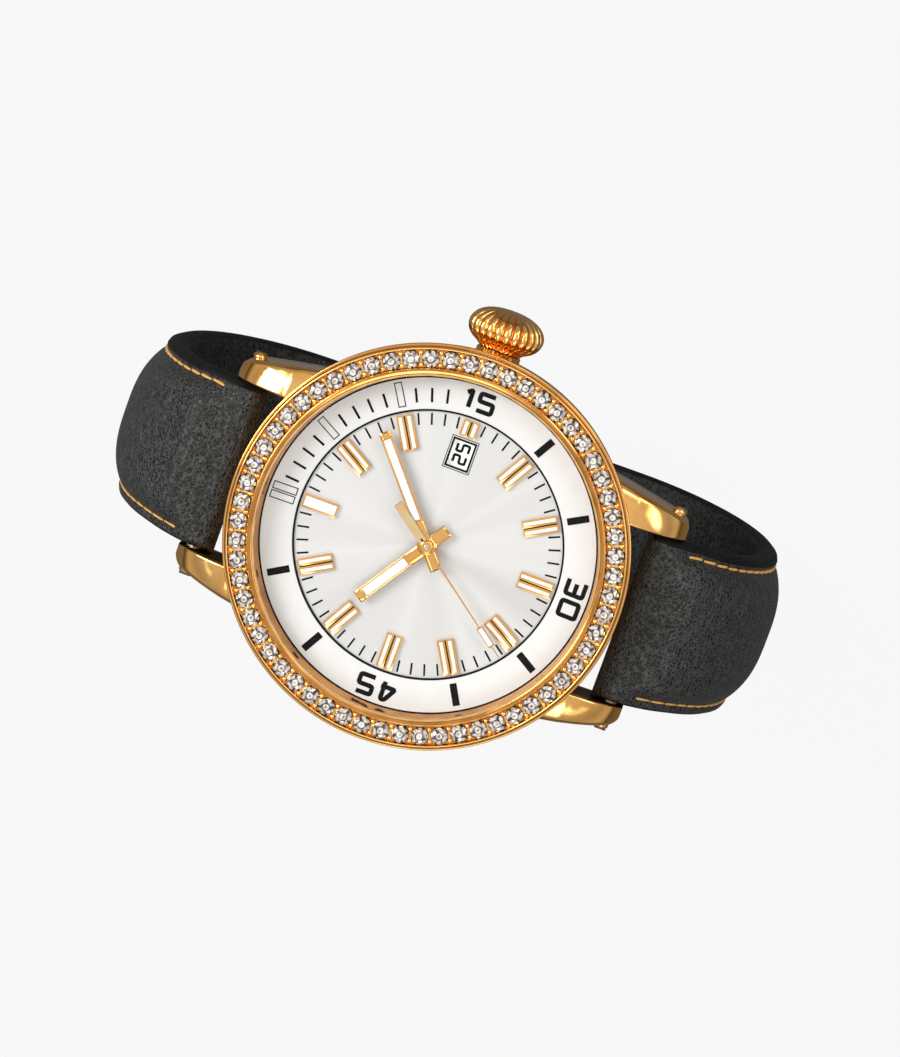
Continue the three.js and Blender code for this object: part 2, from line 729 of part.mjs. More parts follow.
function strap12() {
  const path = strapPath(STRAP.buckleY);
  const [buckleY, floorZ] = [STRAP.buckleY, STRAP.floorZ];
  const leather = joined(
    bentStrap(path, false),
    barLoop(STRAP.barRadius, STRAP.width / 2, BAR.y, BAR.z),
    barLoop(1.45, STRAP.endWidth / 2, buckleY, floorZ),
  );
  return cut(
    leather,
    barLoop(BAR.radius + 0.1, 10, BAR.y, BAR.z),
    barLoop(BUCKLE.barRadius + 0.08, 10, buckleY, floorZ),
    box(-1.2, 1.2, buckleY - 3, buckleY + 1.6, floorZ - 4, floorZ + 4),
  );
}

function strap6() {
  const path = strapPath(-STRAP.tipY);
  const leather = joined(
    bentStrap(path, true),
    barLoop(STRAP.barRadius, STRAP.width / 2, BAR.y, BAR.z),
  );
  const holes = [];
  for (let i = 0; i < 6; i++) {
    const share = 1 - (10 + 6.5 * i) / path.getLength();
    const centre = path.getPoint(share);
    const tangent = path.getTangent(share);
    const hole = disc(0.8, -5, 5, 8).rotateX(Math.atan2(tangent.y, tangent.x));
    holes.push(hole.translate(0, centre.x, centre.y));
  }
  return cut(leather, barLoop(BAR.radius + 0.1, 10, BAR.y, BAR.z), ...holes).scale(1, -1, 1);
}

function buckleFrame() {
  const { halfWidth, innerHalfWidth, reach, thickness, barRadius } = BUCKLE;
  const armEnd = STRAP.buckleY + 1.6;
  const plan = new THREE.Shape();
  plan.moveTo(innerHalfWidth, armEnd);
  plan.lineTo(halfWidth - 0.3, armEnd);
  plan.bezierCurveTo(halfWidth + 0.4, 0, halfWidth + 0.3, -reach, halfWidth - 2.6, -reach);
  plan.lineTo(2.6 - halfWidth, -reach);
  plan.bezierCurveTo(-halfWidth - 0.3, -reach, -halfWidth - 0.4, 0, 0.3 - halfWidth, armEnd);
  plan.lineTo(-innerHalfWidth, armEnd);
  plan.lineTo(-innerHalfWidth, 2 - reach);
  plan.lineTo(innerHalfWidth, 2 - reach);
  const middle = STRAP.floorZ;
  const frame = slab(plan, middle - thickness / 2, middle + thickness / 2);
  return cut(frame, barLoop(barRadius + 0.05, 9.75, STRAP.buckleY, middle));
}

function buckleTongue() {
  const [hingeY, hingeZ] = [STRAP.buckleY, STRAP.floorZ];
  const rest = hingeZ - BUCKLE.thickness / 2 - 0.08;
  const tipY = -BUCKLE.reach - 0.8;
  const blade = polygon([
    [hingeY, hingeZ - 0.3],
    [2 - BUCKLE.reach, rest],
    [tipY, rest],
    [tipY, rest - 0.6],
    [tipY + 0.4, rest - 0.9],
    [hingeY, hingeZ - 1.3],
  ]);
  const tongue = joined(slabAlongX(blade, -0.85, 0.85), barLoop(1.3, 0.95, hingeY, hingeZ));
  return cut(tongue, barLoop(BUCKLE.barRadius + 0.06, 2, hingeY, hingeZ));
}

// A leather loop round the strap, tall enough for the other half's tip to pass through as well.
function keeper(startY) {
  const { inner, wall, length, depth } = KEEPER;
  const top = STRAP.floorZ + 1.45;
  const outside = box(-inner - wall, inner + wall, startY, startY + length, top - depth, top + wall);
  const opening = box(-inner, inner, startY - 1, startY + length + 1, top - depth + wall, top);
  return cut(outside, opening);
}

// ---------------------------------------------------------------- assembly

addPiece("case_middle", caseMiddle(), "gold");
addPiece("bezel", bezel(), "gold");
addPiece("gem_ring", gemRing(), "stone");
addPiece("crystal", crystal(), "crystal");
addPiece("crystal_gasket", ring(17.31, 17.57, CRYSTAL.bottom, BEZEL.top - 0.1), "nylon");
addPiece("flange_ring", flangeRing(), "gold");
addPiece("case_back", caseBack(), "gold");
addPiece("case_back_gasket", ring(15.94, 16.66, CASE.bottom - 0.01, CASE.bottom + 0.46), "rubber");
addPiece("crown_tube", crownTube(), "steel");
addPiece("crown", crown(), "gold");
addPiece("crown_gasket", aboutX(ring(1.45, 1.92, 20.95, 21.45, 24), 0, CROWN.axisZ), "rubber");
addPiece("winding_stem", windingStem(), "steel");
addPiece("strap_bar_12", strapBar(1), "steel");
addPiece("strap_bar_6", strapBar(-1), "steel");
addPiece("lug_screw_12_crown_side", lugScrew(1, 1), "gold");
addPiece("lug_screw_12_far_side", lugScrew(-1, 1), "gold");
addPiece("lug_screw_6_crown_side", lugScrew(1, -1), "gold");
addPiece("lug_screw_6_far_side", lugScrew(-1, -1), "gold");

addPiece("dial", dial(), "dial");
addPiece("chapter_ring", chapterRing(), "chapter");
for (let hour = 1; hour <= 12; hour++) {
  addPiece("index_" + String(hour).padStart(2, "0"), index(hour), "gold");
}
addPiece("date_disc", dateDisc(), "chapter");

addPiece("hour_hand", bladeHand(HOUR_HAND, 0.78, HOUR_INLAY), "gold");
addPiece("hour_hand_lume", handInlay(HOUR_HAND, HOUR_INLAY), "lume");
addPiece("minute_hand", bladeHand(MINUTE_HAND, 0.53, MINUTE_INLAY), "gold");
addPiece("minute_hand_lume", handInlay(MINUTE_HAND, MINUTE_INLAY), "lume");
addPiece("seconds_hand", secondsHand(), "gold");
addPiece("seconds_hand_lume", handInlay({ ...SECONDS_HAND, top: SECONDS_HAND.blade }, SECONDS_INLAY), "lume");

addPiece("main_plate", mainPlate(), "brass");
addPiece("train_bridge", trainBridge(), "brass");
addPiece("battery", battery(), "steel");
addPiece("circuit_board", circuitBoard(), "board");
addPiece("stator", stator(), "magnet");
addPiece("coil", coil(), "copper");
addPiece("rotor", rotor(), "magnet");
addPiece("reduction_wheel", reductionWheel(), "brass");
addPiece("seconds_wheel", secondsWheel(), "brass");
addPiece("third_wheel", thirdWheel(), "brass");
addPiece("center_wheel", centerWheel(), "brass");
addPiece("cannon_pinion", cannonPinion(), "steel");
addPiece("minute_wheel", minuteWheel(), "brass");
addPiece("hour_wheel", hourWheel(), "brass");

addPiece("strap_12", strap12(), "leather");
addPiece("strap_6", strap6(), "leather");
addPiece("buckle_bar", barLoop(BUCKLE.barRadius, 9.7, STRAP.buckleY, STRAP.floorZ), "steel");
addPiece("buckle_frame", buckleFrame(), "gold");
addPiece("buckle_tongue", buckleTongue(), "gold");
addPiece("fixed_keeper", keeper(KEEPER.fixedY), "leather");
addPiece("free_keeper", keeper(KEEPER.freeY), "leather");

watch.position.z = -BACK.bottom;

export default watch;
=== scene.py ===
"""A gold wristwatch with a stone-set bezel and a padded leather strap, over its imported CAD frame.

Forms are written in millimetres, with height 0 at the dial's top face, as the CAD draws them.
"""

from math import cos, exp, hypot, pi, radians, sin, sqrt

import bpy
import numpy as np
from mathutils import Matrix, Vector
from mathutils.geometry import tessellate_polygon


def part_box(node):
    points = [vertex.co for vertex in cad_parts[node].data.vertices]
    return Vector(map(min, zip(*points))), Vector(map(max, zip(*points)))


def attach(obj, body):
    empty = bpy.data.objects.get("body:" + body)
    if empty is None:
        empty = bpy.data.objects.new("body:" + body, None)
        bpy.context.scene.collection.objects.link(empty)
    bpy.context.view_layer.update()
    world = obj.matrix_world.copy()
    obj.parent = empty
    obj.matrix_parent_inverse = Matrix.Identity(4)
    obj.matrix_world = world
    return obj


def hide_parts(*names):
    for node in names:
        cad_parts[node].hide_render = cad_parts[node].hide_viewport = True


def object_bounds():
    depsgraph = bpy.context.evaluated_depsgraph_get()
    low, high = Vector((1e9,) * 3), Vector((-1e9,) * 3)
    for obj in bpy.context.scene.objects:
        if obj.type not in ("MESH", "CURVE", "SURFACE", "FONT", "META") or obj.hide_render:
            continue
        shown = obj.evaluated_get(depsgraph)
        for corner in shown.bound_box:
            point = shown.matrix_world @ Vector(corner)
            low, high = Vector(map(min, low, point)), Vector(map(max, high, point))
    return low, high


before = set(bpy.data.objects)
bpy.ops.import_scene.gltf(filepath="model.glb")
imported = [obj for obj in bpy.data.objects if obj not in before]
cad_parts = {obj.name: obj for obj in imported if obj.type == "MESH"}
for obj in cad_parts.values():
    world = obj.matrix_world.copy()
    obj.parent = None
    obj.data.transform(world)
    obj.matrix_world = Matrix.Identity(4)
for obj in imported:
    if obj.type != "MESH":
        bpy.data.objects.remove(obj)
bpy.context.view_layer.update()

MM = 0.001
DIAL_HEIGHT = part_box("dial")[1][2] / MM

# ---------------- forms


class Form:
    """Points and faces gathered for one object. Each face keeps the slot of its material."""

    def __init__(self):
        self.points = []
        self.faces = []
        self.slots = []

    def add(self, solid, slot=0):
        """Adds a solid and returns the form. slot is one number, or a list with one for each face."""
        points, faces = solid
        start = len(self.points)
        self.points.extend(tuple(float(v) for v in p) for p in points)
        self.faces.extend(tuple(start + i for i in face) for face in faces)
        self.slots.extend(slot if isinstance(slot, list) else [slot] * len(faces))
        return self

    def reshape(self, change, *values):
        """Turns or mirrors everything gathered so far."""
        self.points, self.faces = change((self.points, self.faces), *values)

    def made(self, name, materials, body, replaces=(), sharp=35):
        """The finished object, riding on a CAD body and standing for the CAD nodes it replaces."""
        mesh = bpy.data.meshes.new(name)
        points = [(x * MM, y * MM, (z + DIAL_HEIGHT) * MM) for x, y, z in self.points]
        mesh.from_pydata(points, [], self.faces)
        for material in materials:
            mesh.materials.append(material)
        for polygon, slot in zip(mesh.polygons, self.slots):
            polygon.material_index = slot
        mesh.shade_smooth()
        mesh.set_sharp_from_angle(angle=radians(sharp))
        obj = bpy.data.objects.new(name, mesh)
        bpy.context.collection.objects.link(obj)
        if replaces:
            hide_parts(*replaces)
        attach(obj, body)
        return obj


def outwards(solid):
    """The same closed solid, with its faces turned to point out of it."""
    points, faces = solid
    points = np.asarray(points, float)
    centre = points.mean(axis=0)
    volume = 0.0
    for face in faces:
        ring = points[list(face)] - centre
        for second, third in zip(ring[1:-1], ring[2:]):
            volume += np.dot(ring[0], np.cross(second, third))
    return points, [tuple(reversed(face)) for face in faces] if volume < 0 else list(faces)


def moved(solid, by):
    """Shifted by (x, y, z)."""
    points, faces = solid
    return np.asarray(points, float) + np.asarray(by, float), faces


def turned_clockwise(solid, degrees):
    """Turned about the hands' axis, so that what points to 12 o'clock points to another angle."""
    points, faces = solid
    a = radians(-degrees)
    x, y, z = np.asarray(points, float).T
    return np.column_stack((x * cos(a) - y * sin(a), x * sin(a) + y * cos(a), z)), faces


def along_x(solid, y=0.0, z=0.0):
    """A form made about the Z axis, laid about a line parallel to X."""
    points, faces = solid
    a, b, c = np.asarray(points, float).T
    return np.column_stack((c, b + y, -a + z)), faces


def mirrored(solid, x, y):
    """Multiplied by 1 or -1 along X and Y, with its faces still pointing outwards."""
    points, faces = solid
    points = np.asarray(points, float) * (x, y, 1)
    return points, [tuple(reversed(face)) for face in faces] if x * y < 0 else faces


def full_turn(count, shift=0.0):
    """Equally spaced angles round a full turn."""
    return [2 * pi * (i + shift) / count for i in range(count)]


def circle(radius, height, count, shift=0.0):
    """Points round the Z axis."""
    return [(radius * cos(a), radius * sin(a), height) for a in full_turn(count, shift)]


def filleted(profile, radius, closed=False, steps=4):
    """A profile with each corner rounded to a radius, or to as much as its edges allow."""
    points = [np.asarray(p, float) for p in profile]
    count = len(points)
    rounded = []
    for i, corner in enumerate(points):
        if not closed and i in (0, count - 1):
            rounded.append(tuple(corner))
            continue
        before, after = points[i - 1], points[(i + 1) % count]
        into, out = before - corner, after - corner
        reach = min(radius, 0.45 * np.linalg.norm(into), 0.45 * np.linalg.norm(out))
        start = corner + into / np.linalg.norm(into) * reach
        end = corner + out / np.linalg.norm(out) * reach
        for step in range(steps + 1):
            t = step / steps
            rounded.append(tuple((1 - t) ** 2 * start + 2 * t * (1 - t) * corner + t * t * end))
    return rounded


def loft(rings, capped=True):
    """A skin over closed rings of equally many points. capped closes its ends."""
    rings = [np.asarray(ring, float) for ring in rings]
    size = len(rings[0])
    faces = []
    for row in range(len(rings) - 1):
        for i in range(size):
            j = (i + 1) % size
            low, high = row * size, (row + 1) * size
            faces.append((low + i, low + j, high + j, high + i))
    if capped:
        last = (len(rings) - 1) * size
        faces.append(tuple(reversed(range(size))))
        faces.append(tuple(last + i for i in range(size)))
    return outwards((np.vstack(rings), faces))


def lathe(profile, facets, closed=False):
    """A profile of (radius, height) turned about Z. Open profiles start and end on the axis."""
    points, rows = [], []
    for radius, height in profile:
        on_axis = radius < 1e-6
        if on_axis:
            rows.append([len(points)] * facets)
            points.append((0.0, 0.0, height))
        else:
            rows.append(list(range(len(points), len(points) + facets)))
            points.extend(circle(radius, height, facets))
    if closed:
        rows.append(rows[0])
    faces = []
    for low, high in zip(rows, rows[1:]):
        for i in range(facets):
            j = (i + 1) % facets
            unique = tuple(dict.fromkeys((low[i], low[j], high[j], high[i])))
            if len(unique) > 2:
                faces.append(unique)
    return outwards((points, faces))


def inset(outline, distance):
    """An outline moved inwards. A hole's outline runs the other way round, so it grows."""
    points = np.asarray(outline, float)
    ahead = np.roll(points, -1, axis=0) - points
    ahead /= np.linalg.norm(ahead, axis=1)[:, None]
    behind = np.roll(ahead, 1, axis=0)
    normal_a = np.column_stack((-ahead[:, 1], ahead[:, 0]))
    normal_b = np.column_stack((-behind[:, 1], behind[:, 0]))
    middle = normal_a + normal_b
    reach = 2 / np.maximum((middle**2).sum(axis=1), 0.5)
    return points + middle * (reach * distance)[:, None]


def area(outline):
    """Area inside an outline in X-Y, below zero if it runs clockwise."""
    x, y = np.asarray(outline, float).T
    return 0.5 * np.sum(x * np.roll(y, -1) - y * np.roll(x, -1))


def slab(outline, bottom, top, bevel=0.0, hole=None, rise=None):
    """A flat plate, with a hole if one is given. Its edges draw in by bevel over a height of rise."""
    rings = [np.asarray(outline if area(outline) > 0 else outline[::-1], float)]
    if hole is not None:
        rings.append(np.asarray(hole if area(hole) < 0 else hole[::-1], float))
    levels = [(0.0, bottom), (0.0, top)]
    if bevel:
        rise = bevel if rise is None else rise
        levels = [(bevel, bottom), (0.0, bottom + rise), (0.0, top - rise), (bevel, top)]
    last = len(levels) - 1
    points, faces, caps = [], [], {0: [], last: []}
    for ring in rings:
        size = len(ring)
        start = len(points)
        for level, (distance, height) in enumerate(levels):
            flat = inset(ring, distance)
            if level in caps:
                caps[level].append((flat, len(points)))
            points.extend((x, y, height) for x, y in flat)
        for row in range(last):
            for i in range(size):
                j = (i + 1) % size
                low, high = start + row * size, start + (row + 1) * size
                faces.append((low + i, low + j, high + j, high + i))
    for level, parts in caps.items():
        place = [first + i for flat, first in parts for i in range(len(flat))]
        triangles = tessellate_polygon([[Vector((x, y, 0)) for x, y in flat] for flat, _ in parts])
        for triangle in triangles:
            a, b, c = (place[i] for i in triangle)
            up = area([points[a][:2], points[b][:2], points[c][:2]]) > 0
            faces.append((a, b, c) if up == (level == last) else (c, b, a))
    return points, faces


def barrel(left, right, start, end, low, high):
    """A bar along Y with an arched top that drops a little at both ends."""
    middle, half = (left + right) / 2, (right - left) / 2
    slope = min(0.14, 0.3 * (end - start))
    rings = []
    for y, share in ((start, 0.3), (start + slope, 1.0), (end - slope, 1.0), (end, 0.3)):
        arch = []
        for a in np.linspace(0, pi, 15):
            arch.append((middle - half * cos(a), y, low + (high - low) * share * sin(a)))
        rings.append(arch)
    return loft(rings)


def rectangle(width, start, end, corner=0.0):
    """A rectangle in X-Y from one height to another, centred on x = 0, rounded if corner is given."""
    half = width / 2
    outline = [(-half, start), (half, start), (half, end), (-half, end)]
    return filleted(outline, corner, closed=True) if corner else outline


def ribbon(path, width, height_at, closed=False):
    """A printed line of some width along a path in X-Y, half sunk in the surface that height_at gives."""
    points = np.asarray(path, float)
    if closed:
        left, right = inset(points, -width / 2), inset(points, width / 2)
    else:
        steps = np.diff(points, axis=0)
        steps /= np.linalg.norm(steps, axis=1)[:, None]
        before = np.vstack((steps[:1], steps))
        after = np.vstack((steps, steps[-1:]))
        middle = before + after
        middle /= np.linalg.norm(middle, axis=1)[:, None]
        normal = np.column_stack((-middle[:, 1], middle[:, 0]))
        reach = width / 2 / np.maximum((middle * after).sum(axis=1), 0.5)
        left, right = points + normal * reach[:, None], points - normal * reach[:, None]
    sink = 0.02
    rings = []
    for a, b in zip(left, right):
        at_a, at_b = height_at(*a), height_at(*b)
        rings.append([(*a, at_a - sink), (*b, at_b - sink), (*b, at_b + sink), (*a, at_a + sink)])
    if closed:
        rings.append(rings[0])
    return loft(rings, capped=not closed)


def turning(profile, soft, facets, closed=False):
    """A lathe form whose profile has rounded corners."""
    return lathe(filleted(profile, soft, closed), facets, closed)


def bead(centre, radius, flatten):
    """A small flattened ball."""
    rows, columns = 5, 10
    angles = np.linspace(-pi / 2, pi / 2, rows + 1)
    profile = [(radius * cos(a), radius * flatten * sin(a)) for a in angles]
    return moved(lathe(profile, columns), centre)


# ---------------- numerals

# Each digit is drawn with square strokes in a cell 1 wide and 1 high: a list of (path, closed).
DIGITS = {
    "0": [([(0, 0), (1, 0), (1, 1), (0, 1)], True)],
    "1": [([(0.28, 0.8), (0.62, 1), (0.62, 0)], False)],
    "2": [([(0, 1), (1, 1), (1, 0.52), (0, 0.48), (0, 0), (1, 0)], False)],
    "3": [([(0, 1), (1, 1), (1, 0), (0, 0)], False), ([(0.2, 0.5), (1, 0.5)], False)],
    "4": [([(0.78, 0), (0.78, 1), (0.5, 1), (0, 0.28), (1, 0.28)], False)],
    "5": [([(1, 1), (0, 1), (0, 0.54), (1, 0.54), (1, 0), (0, 0)], False)],
    "6": [([(1, 1), (0, 1), (0, 0), (1, 0), (1, 0.54), (0, 0.54)], False)],
    "7": [([(0, 1), (1, 1), (0.45, 0)], False)],
    "8": [([(0, 0), (1, 0), (1, 1), (0, 1)], True), ([(0, 0.5), (1, 0.5)], False)],
    "9": [([(0, 0), (1, 0), (1, 1), (0, 1), (0, 0.46), (1, 0.46)], False)],
}


# A 1 takes up this share of a digit's width, and its strokes move left by the second share.
ONE_WIDTH, ONE_SHIFT = 0.55, 0.22


def numeral(form, text, place, height_at, slot, height, digit_width, gap, stroke):
    """Adds a printed number. place turns a point of the number's own plane, centred on it, into X-Y."""
    widths = [ONE_WIDTH * digit_width if digit == "1" else digit_width for digit in text]
    left = -(sum(widths) + gap * (len(text) - 1)) / 2
    for digit, width in zip(text, widths):
        start = left + stroke / 2 - (ONE_SHIFT * digit_width if digit == "1" else 0.0)
        for path, closed in DIGITS[digit]:
            drawn = [(start + u * (digit_width - stroke), (v - 0.5) * (height - stroke)) for u, v in path]
            soft = filleted(drawn, stroke * 0.5, closed=closed, steps=3)
            form.add(ribbon([place(a, b) for a, b in soft], stroke, height_at, closed=closed), slot)
        left += width + gap


def radial_place(radius, degrees, turn=0.0):
    """Puts a number's plane at a clockwise angle from 12, its top outwards, then turns it by turn."""
    a, t = radians(-degrees), radians(turn)

    def place(across, up):
        """A point of the number's plane, in X-Y."""
        x = across * cos(t) - up * sin(t)
        y = across * sin(t) + up * cos(t) + radius
        return x * cos(a) - y * sin(a), x * sin(a) + y * cos(a)

    return place


# ---------------- materials


class Nodes:
    """The node tree of a new material or world, built one node at a time."""

    def __init__(self, name, kind="materials", coordinates="Object"):
        self.owner = getattr(bpy.data, kind).new(name)
        self.owner.use_nodes = True
        self.tree = self.owner.node_tree
        self.tree.nodes.clear()
        self.place = self.add("TexCoord").outputs[coordinates]

    def add(self, kind, inputs=None, **settings):
        """A node. Each input is given a value, or is linked where the value is another node's socket."""
        node = self.tree.nodes.new("ShaderNode" + kind)
        for key, value in settings.items():
            setattr(node, key, value)
        for key, value in (inputs or {}).items():
            if isinstance(value, bpy.types.NodeSocket):
                self.tree.links.new(value, node.inputs[key])
            else:
                node.inputs[key].default_value = value
        return node

    def math(self, operation, first, second):
        """An operation on two numbers or sockets."""
        return self.add("Math", {0: first, 1: second}, operation=operation).outputs["Value"]

    def vector(self, operation, first, second=(0.0, 0.0, 0.0), output="Vector"):
        """An operation on vectors."""
        return self.add("VectorMath", {0: first, 1: second}, operation=operation).outputs[output]

    def scaled(self, *per_mm):
        """Coordinates that count features per millimetre: one number, or one for each axis."""
        factors = [number / MM for number in (per_mm * 3)[:3]]
        return self.vector("MULTIPLY", self.place, factors)

    def noise_at(self, place, detail=3.0, output="Fac"):
        """Noise with one feature for each unit of the coordinates given."""
        return self.add("TexNoise", {"Vector": place, "Scale": 1.0, "Detail": detail}).outputs[output]

    def noise(self, per_mm, detail=3.0):
        """Noise with a number of features per millimetre."""
        return self.noise_at(self.scaled(per_mm), detail)

    def ramp(self, factor, *stops):
        """A grey or a colour that follows a factor through (position, value) stops."""
        node = self.add("ValToRGB", {"Fac": factor})
        elements = node.color_ramp.elements
        while len(elements) < len(stops):
            elements.new(0.5)
        for element, (position, value) in zip(elements, stops):
            element.position = position
            element.color = (*(value if isinstance(value, tuple) else (value,) * 3), 1.0)
        return node.outputs["Color"]

    def mixed(self, first, second, blend="MULTIPLY", factor=1.0):
        """Two colours blended. A colour mix has its factor and colours at sockets 0, 6 and 7."""
        sockets = {0: factor, 6: first, 7: second}
        return self.add("Mix", sockets, data_type="RGBA", blend_type=blend).outputs[2]

    def bump(self, height, strength, distance_mm, normal=None):
        """A normal that follows a height. normal is the one of a coarser bump below it."""
        inputs = {"Height": height, "Strength": strength, "Distance": distance_mm * MM}
        if normal is not None:
            inputs["Normal"] = normal
        return self.add("Bump", inputs).outputs["Normal"]

    def angle_and_radius(self):
        """Direction round the hands' axis, as a unit vector, and distance from it in millimetres."""
        flat = self.vector("MULTIPLY", self.place, (1, 1, 0))
        length = self.vector("LENGTH", flat, output="Value")
        return self.vector("NORMALIZE", flat), self.math("DIVIDE", length, MM)

    def finished(self, shader, output="OutputMaterial"):
        """The material or world, with a shader as its surface."""
        self.add(output, {"Surface": shader})
        return self.owner

    def principled(self, **inputs):
        """The material, finished with Blender's main shader. Input names are written with underscores."""
        named = {key.replace("_", " "): value for key, value in inputs.items()}
        return self.finished(self.add("BsdfPrincipled", named).outputs["BSDF"])


def polished_metal(name, light, deep, roughness=(0.06, 0.14)):
    """Bright plating: two shades of the metal, uneven polish and hairline scratches."""
    n = Nodes(name)
    colour = n.ramp(n.noise(0.35, 4.0), (0.35, deep), (0.65, light))
    polish = n.ramp(n.noise(2.5, 5.0), (0.3, roughness[0]), (0.75, roughness[1]))
    hairs = n.noise_at(n.scaled(0.8, 14.0, 3.0), 2.0)
    normal = n.bump(hairs, 0.05, 0.01, n.bump(n.noise(0.25, 1.0), 0.12, 0.12))
    return n.principled(Base_Color=colour, Metallic=1.0, Roughness=polish, Normal=normal)


def turned_metal(name, light, deep, roughness=(0.22, 0.38), rings_per_mm=9.0):
    """Machined metal with fine circular graining about the hands' axis."""
    n = Nodes(name)
    _, radius = n.angle_and_radius()
    across = n.add("CombineXYZ", {"X": n.math("MULTIPLY", radius, rings_per_mm)}).outputs[0]
    rings = n.noise_at(across)
    colour = n.ramp(n.noise(0.8, 4.0), (0.3, deep), (0.7, light))
    matt = n.ramp(rings, (0.35, roughness[0]), (0.65, roughness[1]))
    normal = n.bump(rings, 0.25, 0.02, n.bump(n.noise(6.0, 3.0), 0.05, 0.01))
    return n.principled(Base_Color=colour, Metallic=1.0, Roughness=matt, Normal=normal)


def leather(name, dark, light, pebble_mm, gloss, depth, sheen):
    """Fine pebble grain: creases wandering between small pebbles, painted pale as highlights on their edges,
    soft wrinkles and pores.
    """
    n = Nodes(name)
    swing = n.vector("MULTIPLY", n.noise_at(n.scaled(1.6), output="Color"), (1.3, 1.3, 1.3))
    wander = n.vector("ADD", n.scaled(1 / pebble_mm, 1.4 / pebble_mm, 1.2 / pebble_mm), swing)
    cells = n.add("TexVoronoi", {"Vector": wander, "Scale": 1.0}, feature="DISTANCE_TO_EDGE")
    creases = n.ramp(cells.outputs["Distance"], (0.0, 1.0), (0.13, 0.55), (0.28, 0.05))
    wrinkles = n.noise_at(n.scaled(0.9, 1.7, 1.3), 4.0)
    pores = n.noise(8.0)
    # The pale crease lines are painted highlights, stronger where the wrinkles are high.
    crease_highlight = n.math("MULTIPLY", creases, n.ramp(wrinkles, (0.3, 0.45), (0.65, 1.0)))
    tone = n.ramp(crease_highlight, (0.0, dark), (0.9, light))
    shine = n.ramp(n.math("MULTIPLY", creases, wrinkles), (0.0, gloss[0]), (0.5, gloss[1]))
    pebbles = n.bump(n.math("SUBTRACT", 1.0, creases), depth, 0.06, n.bump(wrinkles, 0.25, 0.12))
    normal = n.bump(pores, 0.15, 0.03, pebbles)
    return n.principled(Base_Color=tone, Roughness=shine, Normal=normal, Specular_IOR_Level=sheen)


def thread(name, light, deep):
    """Twisted sewing thread."""
    n = Nodes(name)
    wave = n.add("TexWave", {"Vector": n.scaled(2.2, 3.1, 2.6), "Scale": 1.0, "Distortion": 1.5})
    twist = wave.outputs["Fac"]
    colour = n.ramp(n.math("MULTIPLY", twist, n.noise(5.0)), (0.05, deep), (0.4, light))
    normal = n.bump(twist, 0.5, 0.04, n.bump(n.noise(14.0), 0.3, 0.02))
    return n.principled(Base_Color=colour, Roughness=0.55, Normal=normal, Specular_IOR_Level=0.35)


def dial_silver():
    """Silver-white dial: soft light and dark fans of painted reflection, as a sunburst catches the light, and
    a fine sunburst brushed out from the centre.
    """
    n = Nodes("dial sunburst")
    unit, radius = n.angle_and_radius()
    # The light and dark fans are painted reflection, set by the direction round the centre.
    reflection_fans = n.noise_at(n.vector("MULTIPLY", unit, (1.15, 1.15, 1.0)), 1.0)
    rays = n.noise_at(n.vector("MULTIPLY", unit, (75.0, 75.0, 1.0)), 2.0)
    base = n.ramp(reflection_fans, (0.3, (0.58, 0.57, 0.56)), (0.5, (0.695, 0.69, 0.685)), (0.7, (0.61, 0.605, 0.6)))
    colour = n.mixed(base, n.ramp(rays, (0.3, 0.965), (0.7, 1.0)))
    matt = n.ramp(rays, (0.3, 0.34), (0.7, 0.46))
    rim = 17.0
    normal = n.bump(n.math("MULTIPLY", rays, n.math("DIVIDE", radius, rim)), 0.06, 0.02)
    return n.principled(Base_Color=colour, Metallic=0.25, Roughness=matt, Normal=normal)


def painted(name, light, deep, roughness=(0.35, 0.5), grain_per_mm=7.0, bump=0.05, **extra):
    """Lacquer, print or moulded plastic with a slight grain."""
    n = Nodes(name)
    cloud = n.ramp(n.noise(0.7, 3.0), (0.3, deep), (0.7, light))
    fine = n.noise(grain_per_mm, 4.0)
    matt = n.ramp(fine, (0.3, roughness[0]), (0.7, roughness[1]))
    return n.principled(Base_Color=cloud, Roughness=matt, Normal=n.bump(fine, bump, 0.02), **extra)


def clear_crystal():
    """Polished glass: see-through, with a faint reflection that grows towards grazing views.

    Only the outer face reflects, so the glass never turns into a mirror seen from inside.
    """
    n = Nodes("crystal")
    smear = n.ramp(n.noise(0.15, 3.0), (0.3, 0.0), (0.7, 0.02))
    normal = n.bump(n.noise(0.3), 0.02, 0.02)
    sheen = n.add("BsdfGlossy", {"Color": (0.5, 0.5, 0.5, 1.0), "Roughness": smear, "Normal": normal})
    through = n.add("BsdfTransparent", {"Color": (0.995, 0.995, 0.99, 1.0)})
    facing = n.add("LayerWeight", {"Blend": 0.5, "Normal": normal}).outputs["Facing"]
    grazing = n.math("ADD", n.math("MULTIPLY", n.math("POWER", facing, 5.0), 0.9), 0.015)
    outer = n.math("SUBTRACT", 1.0, n.add("NewGeometry").outputs["Backfacing"])
    share = n.math("MULTIPLY", grazing, outer)
    shader = n.add("MixShader", {0: share, 1: through.outputs[0], 2: sheen.outputs[0]})
    return n.finished(shader.outputs[0])


def cut_stone(name, dark, mid, light):
    """One tone of facet of a clear stone, in painted reflection: cloudy shades, with a painted glint that
    follows the way each facet faces.
    """
    n = Nodes(name)
    reflection_shades = n.ramp(n.noise(2.2, 2.0), (0.4, dark), (0.5, mid), (0.6, light))
    facing = n.add("LayerWeight", {"Blend": 0.35}).outputs["Facing"]
    colour = n.mixed(reflection_shades, n.ramp(facing, (0.0, (1.0, 0.97, 0.93)), (0.5, (0.93, 0.95, 1.0))))
    polish = n.ramp(n.noise(3.0), (0.3, 0.02), (0.7, 0.08))
    coat = {"Coat_Weight": 0.5, "Coat_Roughness": 0.01, "Coat_IOR": 1.9}
    return n.principled(Base_Color=colour, Metallic=0.6, Roughness=polish, **coat)


